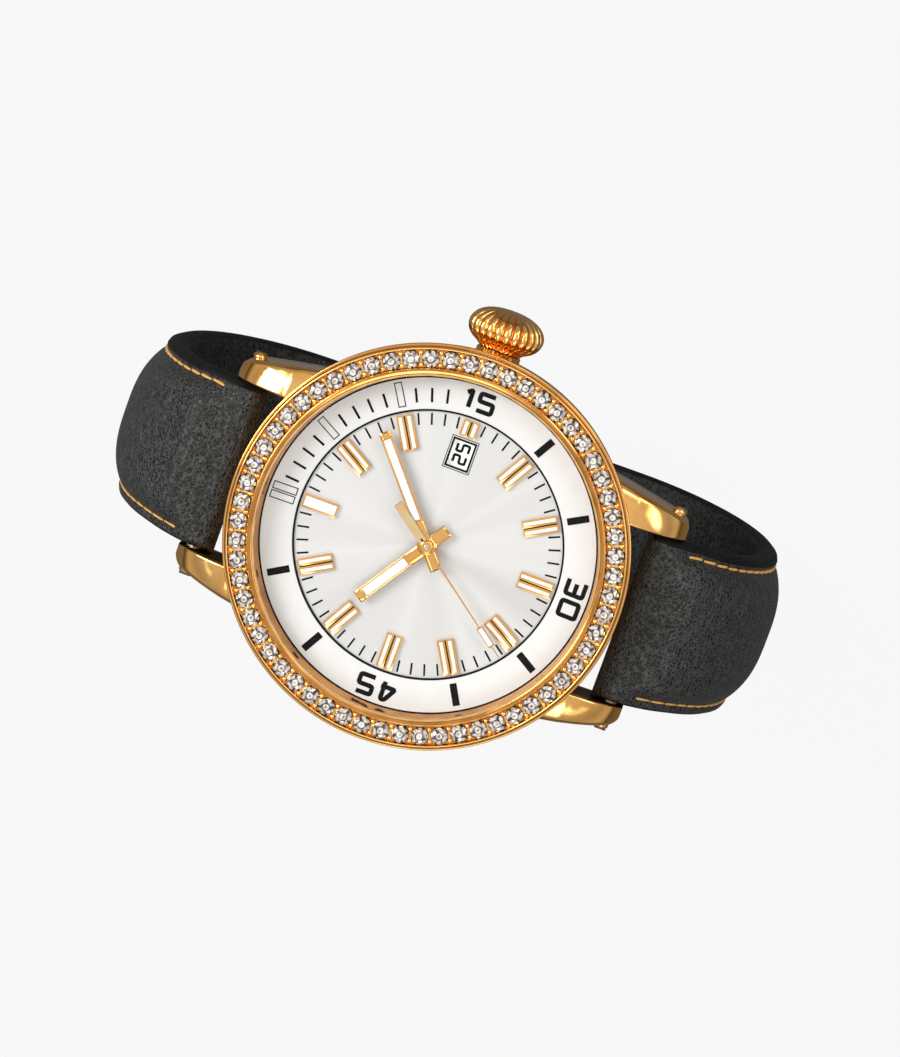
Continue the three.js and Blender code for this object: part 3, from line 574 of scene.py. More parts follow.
GOLD = polished_metal("gold plating", (0.96, 0.55, 0.19), (0.9, 0.45, 0.12))
# A darker copy of the gold: painted shade for recessed gold, in the stone channel, the bezel's inner wall and
# the flange.
SHADED_GOLD = polished_metal("gold plating in painted shade", (0.72, 0.33, 0.09), (0.5, 0.21, 0.05), (0.12, 0.22))
PALE_GOLD = polished_metal("pale gold plating", (0.96, 0.74, 0.42), (0.9, 0.62, 0.3))
STEEL = turned_metal("turned steel", (0.66, 0.66, 0.67), (0.5, 0.5, 0.51))
BRASS = turned_metal("grained brass", (0.75, 0.52, 0.2), (0.6, 0.39, 0.13))
MAGNET = turned_metal("sintered magnet", (0.13, 0.13, 0.14), (0.08, 0.08, 0.085), (0.4, 0.55))
COPPER = turned_metal("wound copper", (0.68, 0.28, 0.12), (0.5, 0.17, 0.06), rings_per_mm=5.0)
RUBBER = painted("black rubber", 0.02, 0.012, (0.6, 0.8))
BOARD = painted("circuit board", (0.03, 0.15, 0.07), (0.02, 0.1, 0.05), (0.25, 0.4))
WHITE = painted("white lacquer", (0.74, 0.737, 0.732), (0.71, 0.707, 0.702), (0.3, 0.42))
# The date disc lies in the window's shade; a faint emission paints light on it.
DISC_PAINTED_LIGHT = {"Emission_Color": (1, 0.98, 0.96, 1), "Emission_Strength": 0.3}
DISC_WHITE = painted("date disc lacquer lit by painted light", (0.85, 0.84, 0.82), (0.8, 0.79, 0.77), **DISC_PAINTED_LIGHT)
NYLON = painted("amber nylon", (0.62, 0.36, 0.13), (0.5, 0.27, 0.08), (0.3, 0.45))
INK = painted("black print", 0.004, 0.002, (0.4, 0.6), Specular_IOR_Level=0.08)
LUME = painted("pale inlay", (0.9, 0.9, 0.87), (0.82, 0.82, 0.79), (0.55, 0.75), 11.0, 0.2)
DIAL = dial_silver()
CRYSTAL = clear_crystal()
# Three painted reflections for the clear stones' facets: bright, dark, and gold from the setting below.
STONE = cut_stone("facets in painted bright reflection", (0.6, 0.57, 0.54), (0.92, 0.91, 0.9), (1.0, 0.99, 0.98))
DARK_REFLECTION_STONE = cut_stone("facets in painted dark reflection", (0.05, 0.035, 0.025), (0.14, 0.11, 0.085), (0.45, 0.38, 0.32))
GOLD_REFLECTION_STONE = cut_stone("facets in painted gold reflection", (0.35, 0.17, 0.06), (0.7, 0.45, 0.22), (0.9, 0.78, 0.6))
LEATHER = leather("black leather", 0.002, (0.058, 0.06, 0.055), 0.45, (0.28, 0.44), 1.3, 0.3)
LINING = leather("leather lining", 0.003, (0.035, 0.035, 0.033), 0.6, (0.55, 0.7), 0.6, 0.15)
EDGE_PAINT = painted("painted leather edge", 0.01, 0.004, (0.5, 0.7), 3.0, 0.3, Specular_IOR_Level=0.12)
THREAD = thread("orange thread", (0.9, 0.5, 0.15), (0.6, 0.26, 0.05))

# ---------------- sizes read from the frame


def extent(node):
    """Lowest and highest corner of a CAD node in millimetres, heights counted from the dial's top."""
    low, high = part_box(node)
    lift = np.array((0.0, 0.0, DIAL_HEIGHT))
    return np.array(low) / MM - lift, np.array(high) / MM - lift


def heights(node):
    """The lowest and the highest height of a CAD node."""
    low, high = extent(node)
    return low[2], high[2]


def middle_of(node):
    """The middle of a CAD node's box."""
    low, high = extent(node)
    return (low + high) / 2


CASE_RADIUS, LUG_TIP, _ = extent("case_middle")[1]
BEZEL_RADIUS = extent("bezel")[1][0]
_, BAR_Y, BAR_Z = middle_of("strap_bar_12")
_, BUCKLE_Y, STRAP_FLOOR = middle_of("buckle_bar")
STRAP_TIP_Y = extent("strap_6")[1][1]
CROWN_START = extent("crown")[0][0]
CROWN_Z = middle_of("crown")[2]
CHAPTER_OUTER, _, CHAPTER_TOP = extent("chapter_ring")[1]
CHAPTER_INNER, CHAPTER_LIP = 13.7, 0.25
DATE_RADIUS = 9.7
LUG_GAP_HALF = 9.0
STONES = 60
STONE_CIRCLE = 18.95


def bezier(a, b, c, d, count):
    """Points along a cubic curve."""
    t = np.linspace(0, 1, count)[:, None]
    a, b, c, d = (np.asarray(p, float) for p in (a, b, c, d))
    return (1 - t) ** 3 * a + 3 * t * (1 - t) ** 2 * b + 3 * t**2 * (1 - t) * c + t**3 * d


def chapter_height(x, y):
    """Height of the chapter ring's sloping face, or of the dial inside it."""
    out = hypot(x, y) - CHAPTER_INNER
    if out < 0:
        return 0.0
    return CHAPTER_LIP + out / (CHAPTER_OUTER - CHAPTER_INNER) * (CHAPTER_TOP - CHAPTER_LIP)


# ---------------- case


def lug():
    """One lug: a horn with an arched top, that tapers in plan and slopes down to a rounded tip.

    The first curve is its outer flank in X-Y. The others are its top, underside and nose in Y-Z.
    """
    inner, root, shoulder, nose_start, steps = LUG_GAP_HALF, 14.6, 18.2, 22.6, 36
    tip_round, tip_narrowing = 1.3, 0.9
    outer = bezier((13.2, 13), (12.7, 17), (11.9, 20.5), (11, 24.2), 60)
    top = bezier((shoulder, 1.1), (20.8, 0.7), (23.2, -0.6), (LUG_TIP, -2.2), 60)
    under = bezier((14.5, -5.2), (19.5, -5.2), (21, -6.1), (nose_start, -5.9), 40)
    nose = bezier((nose_start, -5.9), (23.6, -5.4), (24.1, -4.4), (LUG_TIP, -3), 30)
    under = np.vstack((under, nose[nose[:, 0] > nose_start]))
    rings = []
    for step in range(steps + 1):
        y = root + (LUG_TIP - root) * sin(pi / 2 * step / steps)
        x = np.interp(y, outer[:, 1], outer[:, 0])
        near_tip = max(0.0, (y - LUG_TIP + tip_round) / tip_round)
        x -= tip_narrowing * (1 - sqrt(max(0.0, 1 - near_tip**2)))
        high = 1.15 if y < shoulder else np.interp(y, top[:, 0], top[:, 1])
        low = np.interp(y, np.maximum.accumulate(under[:, 0]), under[:, 1])
        tall = max(high - low, 0.05)
        cut = min(0.28, 0.12 * tall)
        drop = min(0.21 * (x - inner), 0.3 * tall)
        section = [(inner, low + cut), (inner + cut, low), (x - cut, low), (x, low + cut)]
        section += [(x, high - drop - 1.3 * cut), (x - 0.5 * cut, high - drop - 0.4 * cut)]
        section += [(inner + (x - inner) * s, high - drop * s**2) for s in np.linspace(0.88, 0.12, 8)]
        section += [(inner + 0.5 * cut, high), (inner, high - 0.6 * cut)]
        rings.append([(a, y, c) for a, c in filleted(section, 0.1, closed=True, steps=2)])
    return loft(rings)


def build_case():
    """The ring-shaped middle, with four lugs and a boss for the crown."""
    radius, top, bottom = CASE_RADIUS, 1.6, -5.6
    movement_bore, glass_bore, dial_seat = 15.4, 17.6, -0.45
    band = [(movement_bore, bottom), (radius - 1.4, bottom), (radius - 0.4, bottom + 0.7)]
    band += [(radius, bottom + 2.1), (radius, top - 0.6), (radius - 0.25, top), (glass_bore, top)]
    band += [(glass_bore, dial_seat), (movement_bore, dial_seat)]
    form = Form().add(turning(band, 0.3, 200, closed=True))
    horn = lug()
    for x in (1, -1):
        for y in (1, -1):
            form.add(mirrored(horn, x, y))
    boss = lathe([(1.9, 19.4), (2.3, 19.4), (2.3, 20.4), (2.15, 20.58), (1.9, 20.58)], 48, closed=True)
    form.add(along_x(boss, 0.0, CROWN_Z))
    form.made("case_middle_shell", [GOLD], "case", ["case_middle"])


def build_bezel():
    """The stepped ring, with a channel for the stones and four gold beads round each stone."""
    base, top = heights("bezel")
    rim, bore, lip, facets = BEZEL_RADIUS, 17.6, 17.31, 240
    channel_in, channel_out, channel_floor = 18.1, rim - 0.66, 2.5
    profile = [(bore, base), (rim - 0.4, base), (rim, base + 0.3), (rim, 2.34), (rim - 0.1, 2.42)]
    profile += [(rim - 0.2, 2.38), (rim - 0.26, 2.74), (rim - 0.46, 2.94), (rim - 0.58, 2.92)]
    profile += [(channel_out, channel_floor), (channel_in, channel_floor), (18.02, 2.92), (17.84, top)]
    profile += [(17.5, top - 0.1), (lip, top - 0.3), (lip, top - 0.6), (bore, top - 0.7)]
    rounded = filleted(profile, 0.07, closed=True, steps=3)
    # The inner wall and lip take the darker gold as painted shade.
    deep = [int(radius < 17.95) for radius, _ in rounded for _ in range(facets)]
    form = Form().add(lathe(rounded, facets, closed=True), deep)
    # The channel floor round the stones, in the darker gold as painted shade.
    floor = [(channel_in, 2.45), (channel_out, 2.45), (channel_out, 2.52), (channel_in, 2.52)]
    form.add(lathe(floor, facets, closed=True), 1)
    web = slab(rectangle(0.34, 18.2, 19.72, 0.1), 2.4, 2.66, 0.06)
    for i in range(STONES):
        angle = 360 * (i + 0.5) / STONES
        form.add(turned_clockwise(web, angle))
        for radius in (18.36, 19.54):
            form.add(turned_clockwise(bead((0.0, radius, 2.66), 0.25, 0.75), angle))
    form.made("bezel_ring", [GOLD, SHADED_GOLD], "case", ["bezel"])


def stone():
    """A round cut stone, with the painted reflection of each facet: 0 bright, 1 dark, 2 gold as from the gold
    below.

    Its rings have 8, 8, 8, 8, 16 and 16 points, so they start at points 0, 8, 16, 24, 32 and 48.
    """
    table, star, girdle, seat, culet = 3.1, 3.03, 2.82, 2.62, 2.3
    points = circle(0.15, table, 8) + circle(0.33, table, 8) + circle(0.48, table, 8)
    points += circle(0.66, star, 8, 0.5) + circle(0.86, girdle, 16) + circle(0.94, seat, 16)
    points.append((0.0, 0.0, culet))
    # finish gives each facet its painted reflection: 0 bright, 1 dark, 2 gold.
    faces, finish = [tuple(range(8))], [2]
    for i in range(8):
        j = (i + 1) % 8
        low, middle, high = 32 + 2 * i, 32 + (2 * i + 1) % 16, 32 + (2 * i + 2) % 16
        faces += [(i, 8 + i, 8 + j, j), (8 + i, 16 + i, 16 + j, 8 + j), (16 + i, 24 + i, 16 + j)]
        faces += [(16 + i, low, 24 + i), (16 + j, 24 + i, high)]
        faces += [(24 + i, low, middle), (24 + i, middle, high)]
        odd, even = i % 2, 1 - i % 2
        finish += [0, 1, odd, 0, odd, 2 * even, 1]
    for i in range(16):
        j = (i + 1) % 16
        faces += [(32 + i, 48 + i, 48 + j, 32 + j), (48 + i, 64, 48 + j)]
        finish += [1, 1]
    return outwards((points, faces)), finish


def build_stones():
    """The stones, each turned by another amount so that they don't all glint alike."""
    form = Form()
    cut, finish = stone()
    uneven = 0.37
    for i in range(STONES):
        turned = turned_clockwise(cut, 360 * (i * uneven % 1))
        form.add(turned_clockwise(moved(turned, (0.0, STONE_CIRCLE, 0.0)), 360 * i / STONES), finish)
    form.made("bezel_stones", [STONE, DARK_REFLECTION_STONE, GOLD_REFLECTION_STONE], "case", ["gem_ring"], sharp=1)


def build_glass_and_flange():
    """The flat crystal with a rounded rim, and the sloping gold ring under it."""
    (_, _, low), (radius, _, high) = extent("crystal")
    profile = [(0, low), (radius, low), (radius, high - 0.3), (radius - 0.3, high - 0.05), (0, high)]
    Form().add(turning(profile, 0.08, 200)).made("crystal_glass", [CRYSTAL], "case", ["crystal"])

    (_, _, low), (radius, _, high) = extent("flange_ring")
    inner = 17.05
    slope = [(inner, low), (radius, low), (radius, high), (radius - 0.12, high)]
    slope += [(radius - 0.2, high - 0.15), (inner, low + 0.12)]
    # The flange takes the darker gold as painted shade under the bezel.
    flange = turning(slope, 0.05, 240, closed=True)
    Form().add(flange).made("flange_slope", [SHADED_GOLD], "case", ["flange_ring"])


def build_case_back():
    """A steel back with a stepped rim, six notches for a case tool and a plain turned centre."""
    (_, _, under), (radius, _, top) = extent("case_back")
    plug, shoulder = 15.2, top - 0.45
    profile = [(0, under), (12.6, under), (12.8, under + 0.12), (13.1, under + 0.12), (13.3, under)]
    profile += [(17.2, under), (radius, under + 0.5), (radius, shoulder), (plug, shoulder)]
    profile += [(plug, top), (0, top)]
    form = Form().add(turning(profile, 0.12, 200))
    notch = slab(rectangle(2.2, 14.2, 16.2, 0.4), under - 0.015, under + 0.2, 0.01)
    for i in range(6):
        form.add(turned_clockwise(notch, 60 * i + 30), 1)
    form.made("case_back_cover", [STEEL, RUBBER], "case", ["case_back"])


def build_crown():
    """A fluted onion on a short neck, with a dimple in its outer end."""
    lobes, facets, rows = 24, 24 * 12, 25
    neck_in, centre, half = CROWN_START + 1.58, CROWN_START + 2.0, 2.12
    # Each ring has a radius, a distance along the axis and the depth of its flutes.
    profile = [(0.02, neck_in, 0.0), (2.0, neck_in, 0.0), (2.0, CROWN_START, 0.0), (2.2, CROWN_START, 0.02)]
    for row in range(1, rows):
        a = radians(-60 + 150 * row / rows)
        radius, depth = 3.92 * cos(a) ** 0.8, 0.09 + 0.13 * (row / rows) ** 2
        profile.append((radius, centre + half * sin(a), depth))
    dimple = centre + half - 0.12
    profile += [(0.42, dimple + 0.11, 0.0), (0.3, dimple, 0.0), (0.02, dimple, 0.0)]
    rings = []
    for radius, height, depth in profile:
        ring = []
        for a in full_turn(facets):
            groove = 1 - abs(sin(lobes / 2 * a)) ** 0.45
            r = radius * (1 - depth * groove)
            ring.append((r * cos(a), r * sin(a), height))
        rings.append(ring)
    form = Form().add(along_x(loft(rings), 0.0, CROWN_Z))
    form.made("crown_cap", [GOLD], "crown", ["crown"], sharp=60)


def build_lug_screws():
    """A slotted, domed head outside each lug, on a short shank."""
    tall, shank = 0.82, 3
    for name in ("12_crown_side", "12_far_side", "6_crown_side", "6_far_side"):
        low, high = extent("lug_screw_" + name)
        head = max(abs(low[0]), abs(high[0])) - tall
        dome = [(0, head - shank), (0.45, head - shank), (0.45, head), (0.72, head)]
        dome += [(0.74, head + 0.4), (0.5, head + 0.72), (0, head + tall)]
        form = Form().add(along_x(turning(dome, 0.12, 40), BAR_Y, BAR_Z))
        slot = slab(rectangle(0.18, -0.6, 0.6), head + 0.7, head + 0.835)
        form.add(along_x(slot, BAR_Y, BAR_Z), 1)
        form.reshape(mirrored, 1 if high[0] > 0 else -1, 1 if high[1] > 0 else -1)
        form.made("screw_" + name, [GOLD, RUBBER], "case", ["lug_screw_" + name])


# ---------------- dial side


def build_chapter_ring():
    """The white ring with its black scale: minutes to 15, blocks every five minutes, and three numbers."""
    inner, outer = CHAPTER_INNER, CHAPTER_OUTER
    profile = [(inner, 0.01), (outer, 0.01), (outer, CHAPTER_TOP), (inner + 0.05, CHAPTER_LIP), (inner, 0.2)]
    form = Form().add(lathe(profile, 240, closed=True))
    edge = [(inner - 0.18, 0.0), (inner + 0.005, 0.0), (inner + 0.005, 0.24), (inner - 0.18, 0.2)]
    form.add(lathe(edge, 240, closed=True), 1)
    # A black ring at the foot of the flange: painted shadow of the gap between ring and flange.
    groove = [radial_place(16.99, 3 * i)(0, 0) for i in range(120)]
    form.add(ribbon(groove, 0.15, chapter_height, closed=True), 1)

    def mark(width, start, end, minute):
        """A radial line at a minute."""
        place = radial_place(0.0, 6 * minute)
        form.add(ribbon([place(0.0, start), place(0.0, end)], width, chapter_height), 1)

    for minute in range(1, 14):
        if minute % 5:
            mark(0.24, 14.4, 15.85, minute)
    for minute, width, across in ((5, 0.7, 0.0), (10, 0.7, 0.0), (0, 0.72, -0.47), (0, 0.72, 0.47)):
        place = radial_place(0.0, 6 * minute)
        corners = [place(across + x, y) for x, y in rectangle(width, 14.15, 16.6)]
        form.add(ribbon(corners, 0.1, chapter_height, closed=True), 1)
    for minute in (20, 25, 35, 40, 50, 55):
        mark(0.72, 14.2, 16.45, minute)
    for minute in (15, 30, 45):
        place = radial_place(15.4, 6 * minute)
        sizes = {"height": 2.25, "digit_width": 1.95, "gap": 0.3, "stroke": 0.46}
        numeral(form, str(minute), place, chapter_height, 1, **sizes)
    form.made("chapter_scale", [WHITE, INK], "case", ["chapter_ring"])


def build_dial_printing():
    """Minute marks between the indices, and the frame round the date window: a thin printed line and a broad
    black line of painted shade on the window's bevelled edge.
    """
    form = Form()
    for minute in range(60):
        if minute % 5:
            place = radial_place(0.0, 6 * minute)
            form.add(ribbon([place(0, 12.1), place(0, 13.3)], 0.19, chapter_height))
    # The outer thin line is print; the inner broad line paints the shade on the window's bevelled edge.
    for width, height, line in ((3.34, 2.76, 0.08), (2.86, 2.3, 0.2)):
        corners = [(DATE_RADIUS + x, y) for x, y in rectangle(width, -height / 2, height / 2)]
        form.add(ribbon(corners, line, chapter_height, closed=True))
    form.made("dial_printing", [INK], "case")


def build_indices():
    """Twelve applied batons: gold bars with bevelled sides and a pale top, one at 12 and pairs elsewhere."""
    outer = 13.28
    for hour in range(1, 13):
        inner = 11.62 if hour == 3 else 9.7
        width, places = (1.42, [0.0]) if hour == 12 else (0.76, [-0.45, 0.45])
        form = Form()
        for across in places:
            bar = slab(rectangle(width, inner, outer), 0.02, 0.44, 0.2, rise=0.075)
            top = slab(rectangle(width - 0.42, inner + 0.16, outer - 0.16), 0.4, 0.455, 0.02)
            form.add(turned_clockwise(moved(bar, (across, 0, 0)), 30 * hour), 0)
            form.add(turned_clockwise(moved(top, (across, 0, 0)), 30 * hour), 1)
        if hour != 12:
            # A black strip under each pair of bars, which darkens the narrow gap between them.
            foot = slab(rectangle(0.5, inner + 0.1, outer - 0.1), 0.02, 0.14)
            form.add(turned_clockwise(foot, 30 * hour), 2)
        form.made(f"baton_{hour:02d}", [GOLD, LUME, INK], "case", [f"index_{hour:02d}"])


def build_date_numbers():
    """The 31 numbers on the date disc. 25 is in the window at rest."""
    form = Form()
    top = heights("date_disc")[1]
    for day in range(1, 32):
        place = radial_place(DATE_RADIUS, 90 + (day - 25) * 360 / 31, 90)
        sizes = {"height": 1.5, "digit_width": 1.0, "gap": 0.18, "stroke": 0.27}
        numeral(form, str(day), place, lambda x, y: top, 0, **sizes)
    form.made("date_numbers", [INK], "date")


def build_blade_hand(name, body, angle, tip, width, hub, window):
    """A flat blade with arched bars on it: one for the tail, one for the tip and a rail by each side.

    window is the inlay's opening: its half width, its start and its end.
    """
    low, high = heights(name)
    tail, side = 2.6, width / 2
    half, start, end = window
    base, crest = low + 0.05, high + 0.04
    hole = rectangle(2 * half, start, end)
    form = Form().add(slab(rectangle(width, -tail, tip, 0.1), low, base + 0.02, 0.02, hole=hole))
    form.add(barrel(-side, side, -tail, start, base, crest))
    form.add(barrel(-side, side, end, tip, base, crest))
    for left, right in ((-side, -half), (half, side)):
        form.add(barrel(left, right, start - 0.3, end + 0.3, base, crest))
    boss = [(0, low + 0.01), (hub, low + 0.01), (hub, high - 0.04), (hub - 0.2, high + 0.06)]
    form.add(turning([*boss, (0, high + 0.06)], 0.08, 64))
    form.reshape(turned_clockwise, angle)
    form.made(name + "_bar", [GOLD], body, [name])
    inlay = slab(rectangle(2 * half - 0.06, start + 0.03, end - 0.03), low + 0.02, high + 0.01, 0.03)
    Form().add(turned_clockwise(inlay, angle)).made(name + "_inlay", [LUME], body, [name + "_lume"])


def build_seconds_hand(angle):
    """A needle with a small framed inlay near its tip, a broad tail, and a cap with a steel pin."""
    low, high = heights("seconds_hand")
    blade = low + 0.12
    needle = [(-0.11, -1), (0.11, -1), (0.06, 9.7), (-0.06, 9.7)]
    tip = [(-0.06, 11.85), (0.06, 11.85), (0.035, 13.3), (-0.035, 13.3)]
    form = Form().add(slab(needle, low, blade, 0.02)).add(slab(tip, low, blade, 0.01))
    window = rectangle(0.48, 9.78, 11.78)
    form.add(slab(rectangle(0.66, 9.62, 11.94), low, blade, 0.03, hole=window))
    form.add(slab(rectangle(0.9, -5.2, -0.6, 0.08), low, blade, 0.04), 1)
    cap = [(0, low), (0.68, low), (0.68, high - 0.08), (0.55, high), (0, high + 0.02)]
    form.add(turning(cap, 0.05, 64))
    pin = [(0, high), (0.24, high), (0.22, high + 0.09), (0, high + 0.13)]
    form.add(turning(pin, 0.05, 32), 2)
    form.reshape(turned_clockwise, angle)
    form.made("seconds_hand_bar", [GOLD, PALE_GOLD, STEEL], "seconds", ["seconds_hand"])
    inlay = turned_clockwise(slab(rectangle(0.46, 9.8, 11.76), low + 0.01, blade + 0.01, 0.02), angle)
    Form().add(inlay).made("seconds_hand_inlay", [LUME], "seconds", ["seconds_hand_lume"])


# ---------------- strap


def smooth(value, low, high):
    """A soft step from 0 to 1 between two values."""
    t = min(max((value - low) / (high - low), 0.0), 1.0)
    return t * t * (3 - 2 * t)


class Strap:
    """One leather half: a centreline in Y-Z from its strap bar, with a thickness, a width and padding.

    nose and end_nose are the half thicknesses of the ends wrapped round a bar, 0 for a free tip. side is
    1 for the half at 12 o'clock and -1 for the half at 6.
    """

    def __init__(self, end_y, end_nose, side):
        reach, floor = 32.8, STRAP_FLOOR
        turn, foot = (reach, -22.0), (17.0, floor)
        down = bezier((BAR_Y, BAR_Z), (28, -4.2), (reach, -11), turn, 200)
        under = bezier(turn, (reach, -36), (27, floor), foot, 300)
        self.curve = np.vstack((down, under[1:], np.linspace(foot, (end_y, floor), 60)[1:]))
        steps = np.linalg.norm(np.diff(self.curve, axis=0), axis=1)
        self.distances = np.concatenate(([0.0], np.cumsum(steps)))
        self.length = self.distances[-1]
        self.nose, self.end_nose, self.side = 2.1, end_nose, side

    def centre(self, distance):
        """The centreline's point and direction. Before the start and past the end it goes straight on."""
        inside = min(max(distance, 0.0), self.length)
        y = np.interp(inside, self.distances, self.curve[:, 0])
        z = np.interp(inside, self.distances, self.curve[:, 1])
        i = min(max(np.searchsorted(self.distances, inside), 3), len(self.curve) - 3)
        ahead = self.curve[i + 2] - self.curve[i - 3]
        ahead /= np.linalg.norm(ahead)
        return np.array((y, z)) + ahead * (distance - inside), ahead

    def edge(self, distance):
        """Half thickness of the border, closing to a round nose at each wrapped end."""
        plain = 1.25 + (1.15 - 1.25) * smooth(distance, 0, 45)
        for nose, left in ((self.nose, distance), (self.end_nose, self.length - distance)):
            if nose and left < 0:
                return max(nose * sqrt(max(1 - (left / nose) ** 2, 0.0)), 0.01)
            if nose and left < 3:
                return nose + (plain - nose) * smooth(left, 0, 3)
        return plain

    def pad(self, distance):
        """How far the padding raises the middle."""
        return 1.9 * smooth(distance, 0.2, 3.2) * (1 - smooth(distance, 16, 62))

    def half_width(self, distance):
        """Half the width: 17.6 mm at the lugs, 16 at the end, with a rounded corner at a free tip."""
        straight = (17.6 + (16 - 17.6) * min(max(distance, 0) / self.length, 1)) / 2
        straight += 0.16 * (1 - smooth(distance, 2, 7))
        left = (self.length - distance) / 7
        if not self.end_nose and left < 1:
            return straight * sqrt(max(1 - 0.8 * (1 - left) ** 2, 0.0))
        return straight

    def lift(self, distance, across):
        """Height of the outer face above the centreline, at a distance in millimetres from the middle."""
        seam = self.half_width(distance) - 1.35
        edge = self.edge(distance)
        x = abs(across) / seam
        groove = 0.16 * exp(-(((abs(across) - seam - 0.05) / 0.3) ** 2)) * smooth(distance, 1, 3)
        groove *= min(edge, 1.0)
        if x >= 1:
            return edge - groove
        arch = 7 - 4 * smooth(distance, 2, 18)
        return edge + self.pad(distance) * (1 - x**arch) - groove

    def at(self, distance, across, lift):
        """A point in space: across the strap and lifted off the centreline."""
        (y, z), (ty, tz) = self.centre(distance)
        return across, self.side * (y - tz * lift), z + ty * lift

    def ring(self, distance):
        """The section at a distance: 41 points above, 5 on a rounded side, 13 below and 5 on the other."""
        half, edge = self.half_width(distance), self.edge(distance)
        corner = min(0.75, 0.9 * edge + 0.01, 0.6 * half)
        flat = half - corner
        top = self.lift(distance, half)
        right = []
        for i in range(1, 6):
            a = pi / 2 * (1 - i / 3)
            right.append((flat + corner * cos(a), (top - edge) / 2 + (top + edge) / 2 * sin(a)))
        left = [(-x, z) for x, z in reversed(right)]
        above = [(x, self.lift(distance, x)) for x in np.linspace(-flat, flat, 41)]
        below = [(x, -edge) for x in np.linspace(flat, -flat, 13)]
        return [self.at(distance, x, z) for x, z in above + right + below + left]

    def band(self):
        """The whole leather, with the slot of each face: outer leather, painted edge or lining."""
        start, end, step = -self.nose, self.length + self.end_nose, 0.35
        rows = int((end - start) / step) + 1
        leather = loft([self.ring(distance) for distance in np.linspace(start, end, rows)])
        slots = [0] * 40 + [1] * 5 + [2] * 13 + [1] * 5 + [0]
        return leather, slots * (rows - 1) + [1, 1]

    def stitch(self, start, end, across):
        """One thread bulge, pulled into the leather at both ends."""
        rings = []
        for share, swell in ((0, 0.5), (0.08, 0.85), (0.3, 1.0), (0.7, 1.0), (0.92, 0.85), (1, 0.5)):
            distance = start + (end - start) * share
            centre = self.lift(distance, across) + 0.06 - 0.12 * (1 - swell)
            lean, r = across + 0.07 * (share - 0.5), 0.17 * swell
            round_thread = [(lean + r * cos(a), centre + r * sin(a)) for a in full_turn(8)]
            rings.append([self.at(distance, x, z) for x, z in round_thread])
        return loft(rings)

    def stitches(self, start, end):
        """Both rows of thread, close to the edges."""
        pitch, length = 1.6, 1.56
        form = Form()
        distance = start
        while distance + length < end:
            for side in (-1, 1):
                across = side * (self.half_width(distance) - 1.3)
                form.add(self.stitch(distance, distance + length, across))
            distance += pitch
        return form

    def cutter(self, outline, body):
        """A block that cuts through the leather. Its outline is given as (distance, across)."""
        rings = [[self.at(distance, across, lift) for distance, across in outline] for lift in (-4, 4)]
        return Form().add(loft(rings)).made("cutter", [EDGE_PAINT], body)


LEATHERS = [LEATHER, EDGE_PAINT, LINING]


def bored(obj, cutters):
    """Cuts blocks out of an object, bakes the result into its mesh and takes the blocks away."""
    for cutter in cutters:
        modifier = obj.modifiers.new("hole", "BOOLEAN")
        modifier.operation, modifier.object, modifier.solver = "DIFFERENCE", cutter, "EXACT"
    depsgraph = bpy.context.evaluated_depsgraph_get()
    baked = bpy.data.meshes.new_from_object(obj.evaluated_get(depsgraph))
    obj.modifiers.clear()
    obj.data = baked
    for cutter in cutters:
        bpy.data.objects.remove(cutter)


def build_strap_12():
    """The buckle half, wrapped round the buckle bar and slotted there for the tongue."""
    strap = Strap(BUCKLE_Y, 1.45, 1)
    body = "strap_12_half"
    made = Form().add(*strap.band()).made("leather_12", LEATHERS, body, ["strap_12"])
    start, end, half = strap.length - 1.7, strap.length + 3, 1.2
    bored(made, [strap.cutter([(start, -half), (start, half), (end, half), (end, -half)], body)])
    strap.stitches(1.9, strap.length - 8).made("stitches_12", [THREAD], body)


def build_strap_6():
    """The free half, with a blunt tip and six holes for the tongue."""
    strap = Strap(-STRAP_TIP_Y, 0.0, -1)
    body = "strap_6_half"
    made = Form().add(*strap.band()).made("leather_6", LEATHERS, body, ["strap_6"])
    holes, first, pitch, radius = 6, 10, 6.5, 0.8
    cutters = []
    for i in range(holes):
        distance = strap.length - first - pitch * i
        outline = [(distance + radius * sin(a), radius * cos(a)) for a in full_turn(24)]
        cutters.append(strap.cutter(outline, body))
    bored(made, cutters)
    strap.stitches(1.9, strap.length - 6).made("stitches_6", [THREAD], body)


def build_keeper(node, body, name):
    """A flat leather loop with rounded corners, and a row of stitches by each edge of its outer face."""
    low, high = extent(node)
    half_x, half_z = high[0], (high[2] - low[2]) / 2
    wall = 0.8
    outline = filleted(rectangle(2 * half_z, -half_x, half_x), 1.3, closed=True)
    inner = rectangle(2 * (half_z - wall), wall - half_x, half_x - wall)
    points, faces = slab(outline, low[1], high[1], 0.22, hole=filleted(inner, 0.7, closed=True))
    x, y, z = np.asarray(points, float).T
    form = Form().add(outwards((np.column_stack((y, z, x + middle_of(node)[2])), faces)))
    stitch = along_x(lathe([(0, -0.6), (0.13, -0.45), (0.15, 0), (0.13, 0.45), (0, 0.6)], 8))
    for y in (low[1] + 0.55, high[1] - 0.55):
        for i in range(11):
            form.add(moved(stitch, ((i - 5) * 1.45, y, low[2] - 0.01)), 1)
    form.made(name, [LEATHER, THREAD], body, [node])


# ---------------- buckle


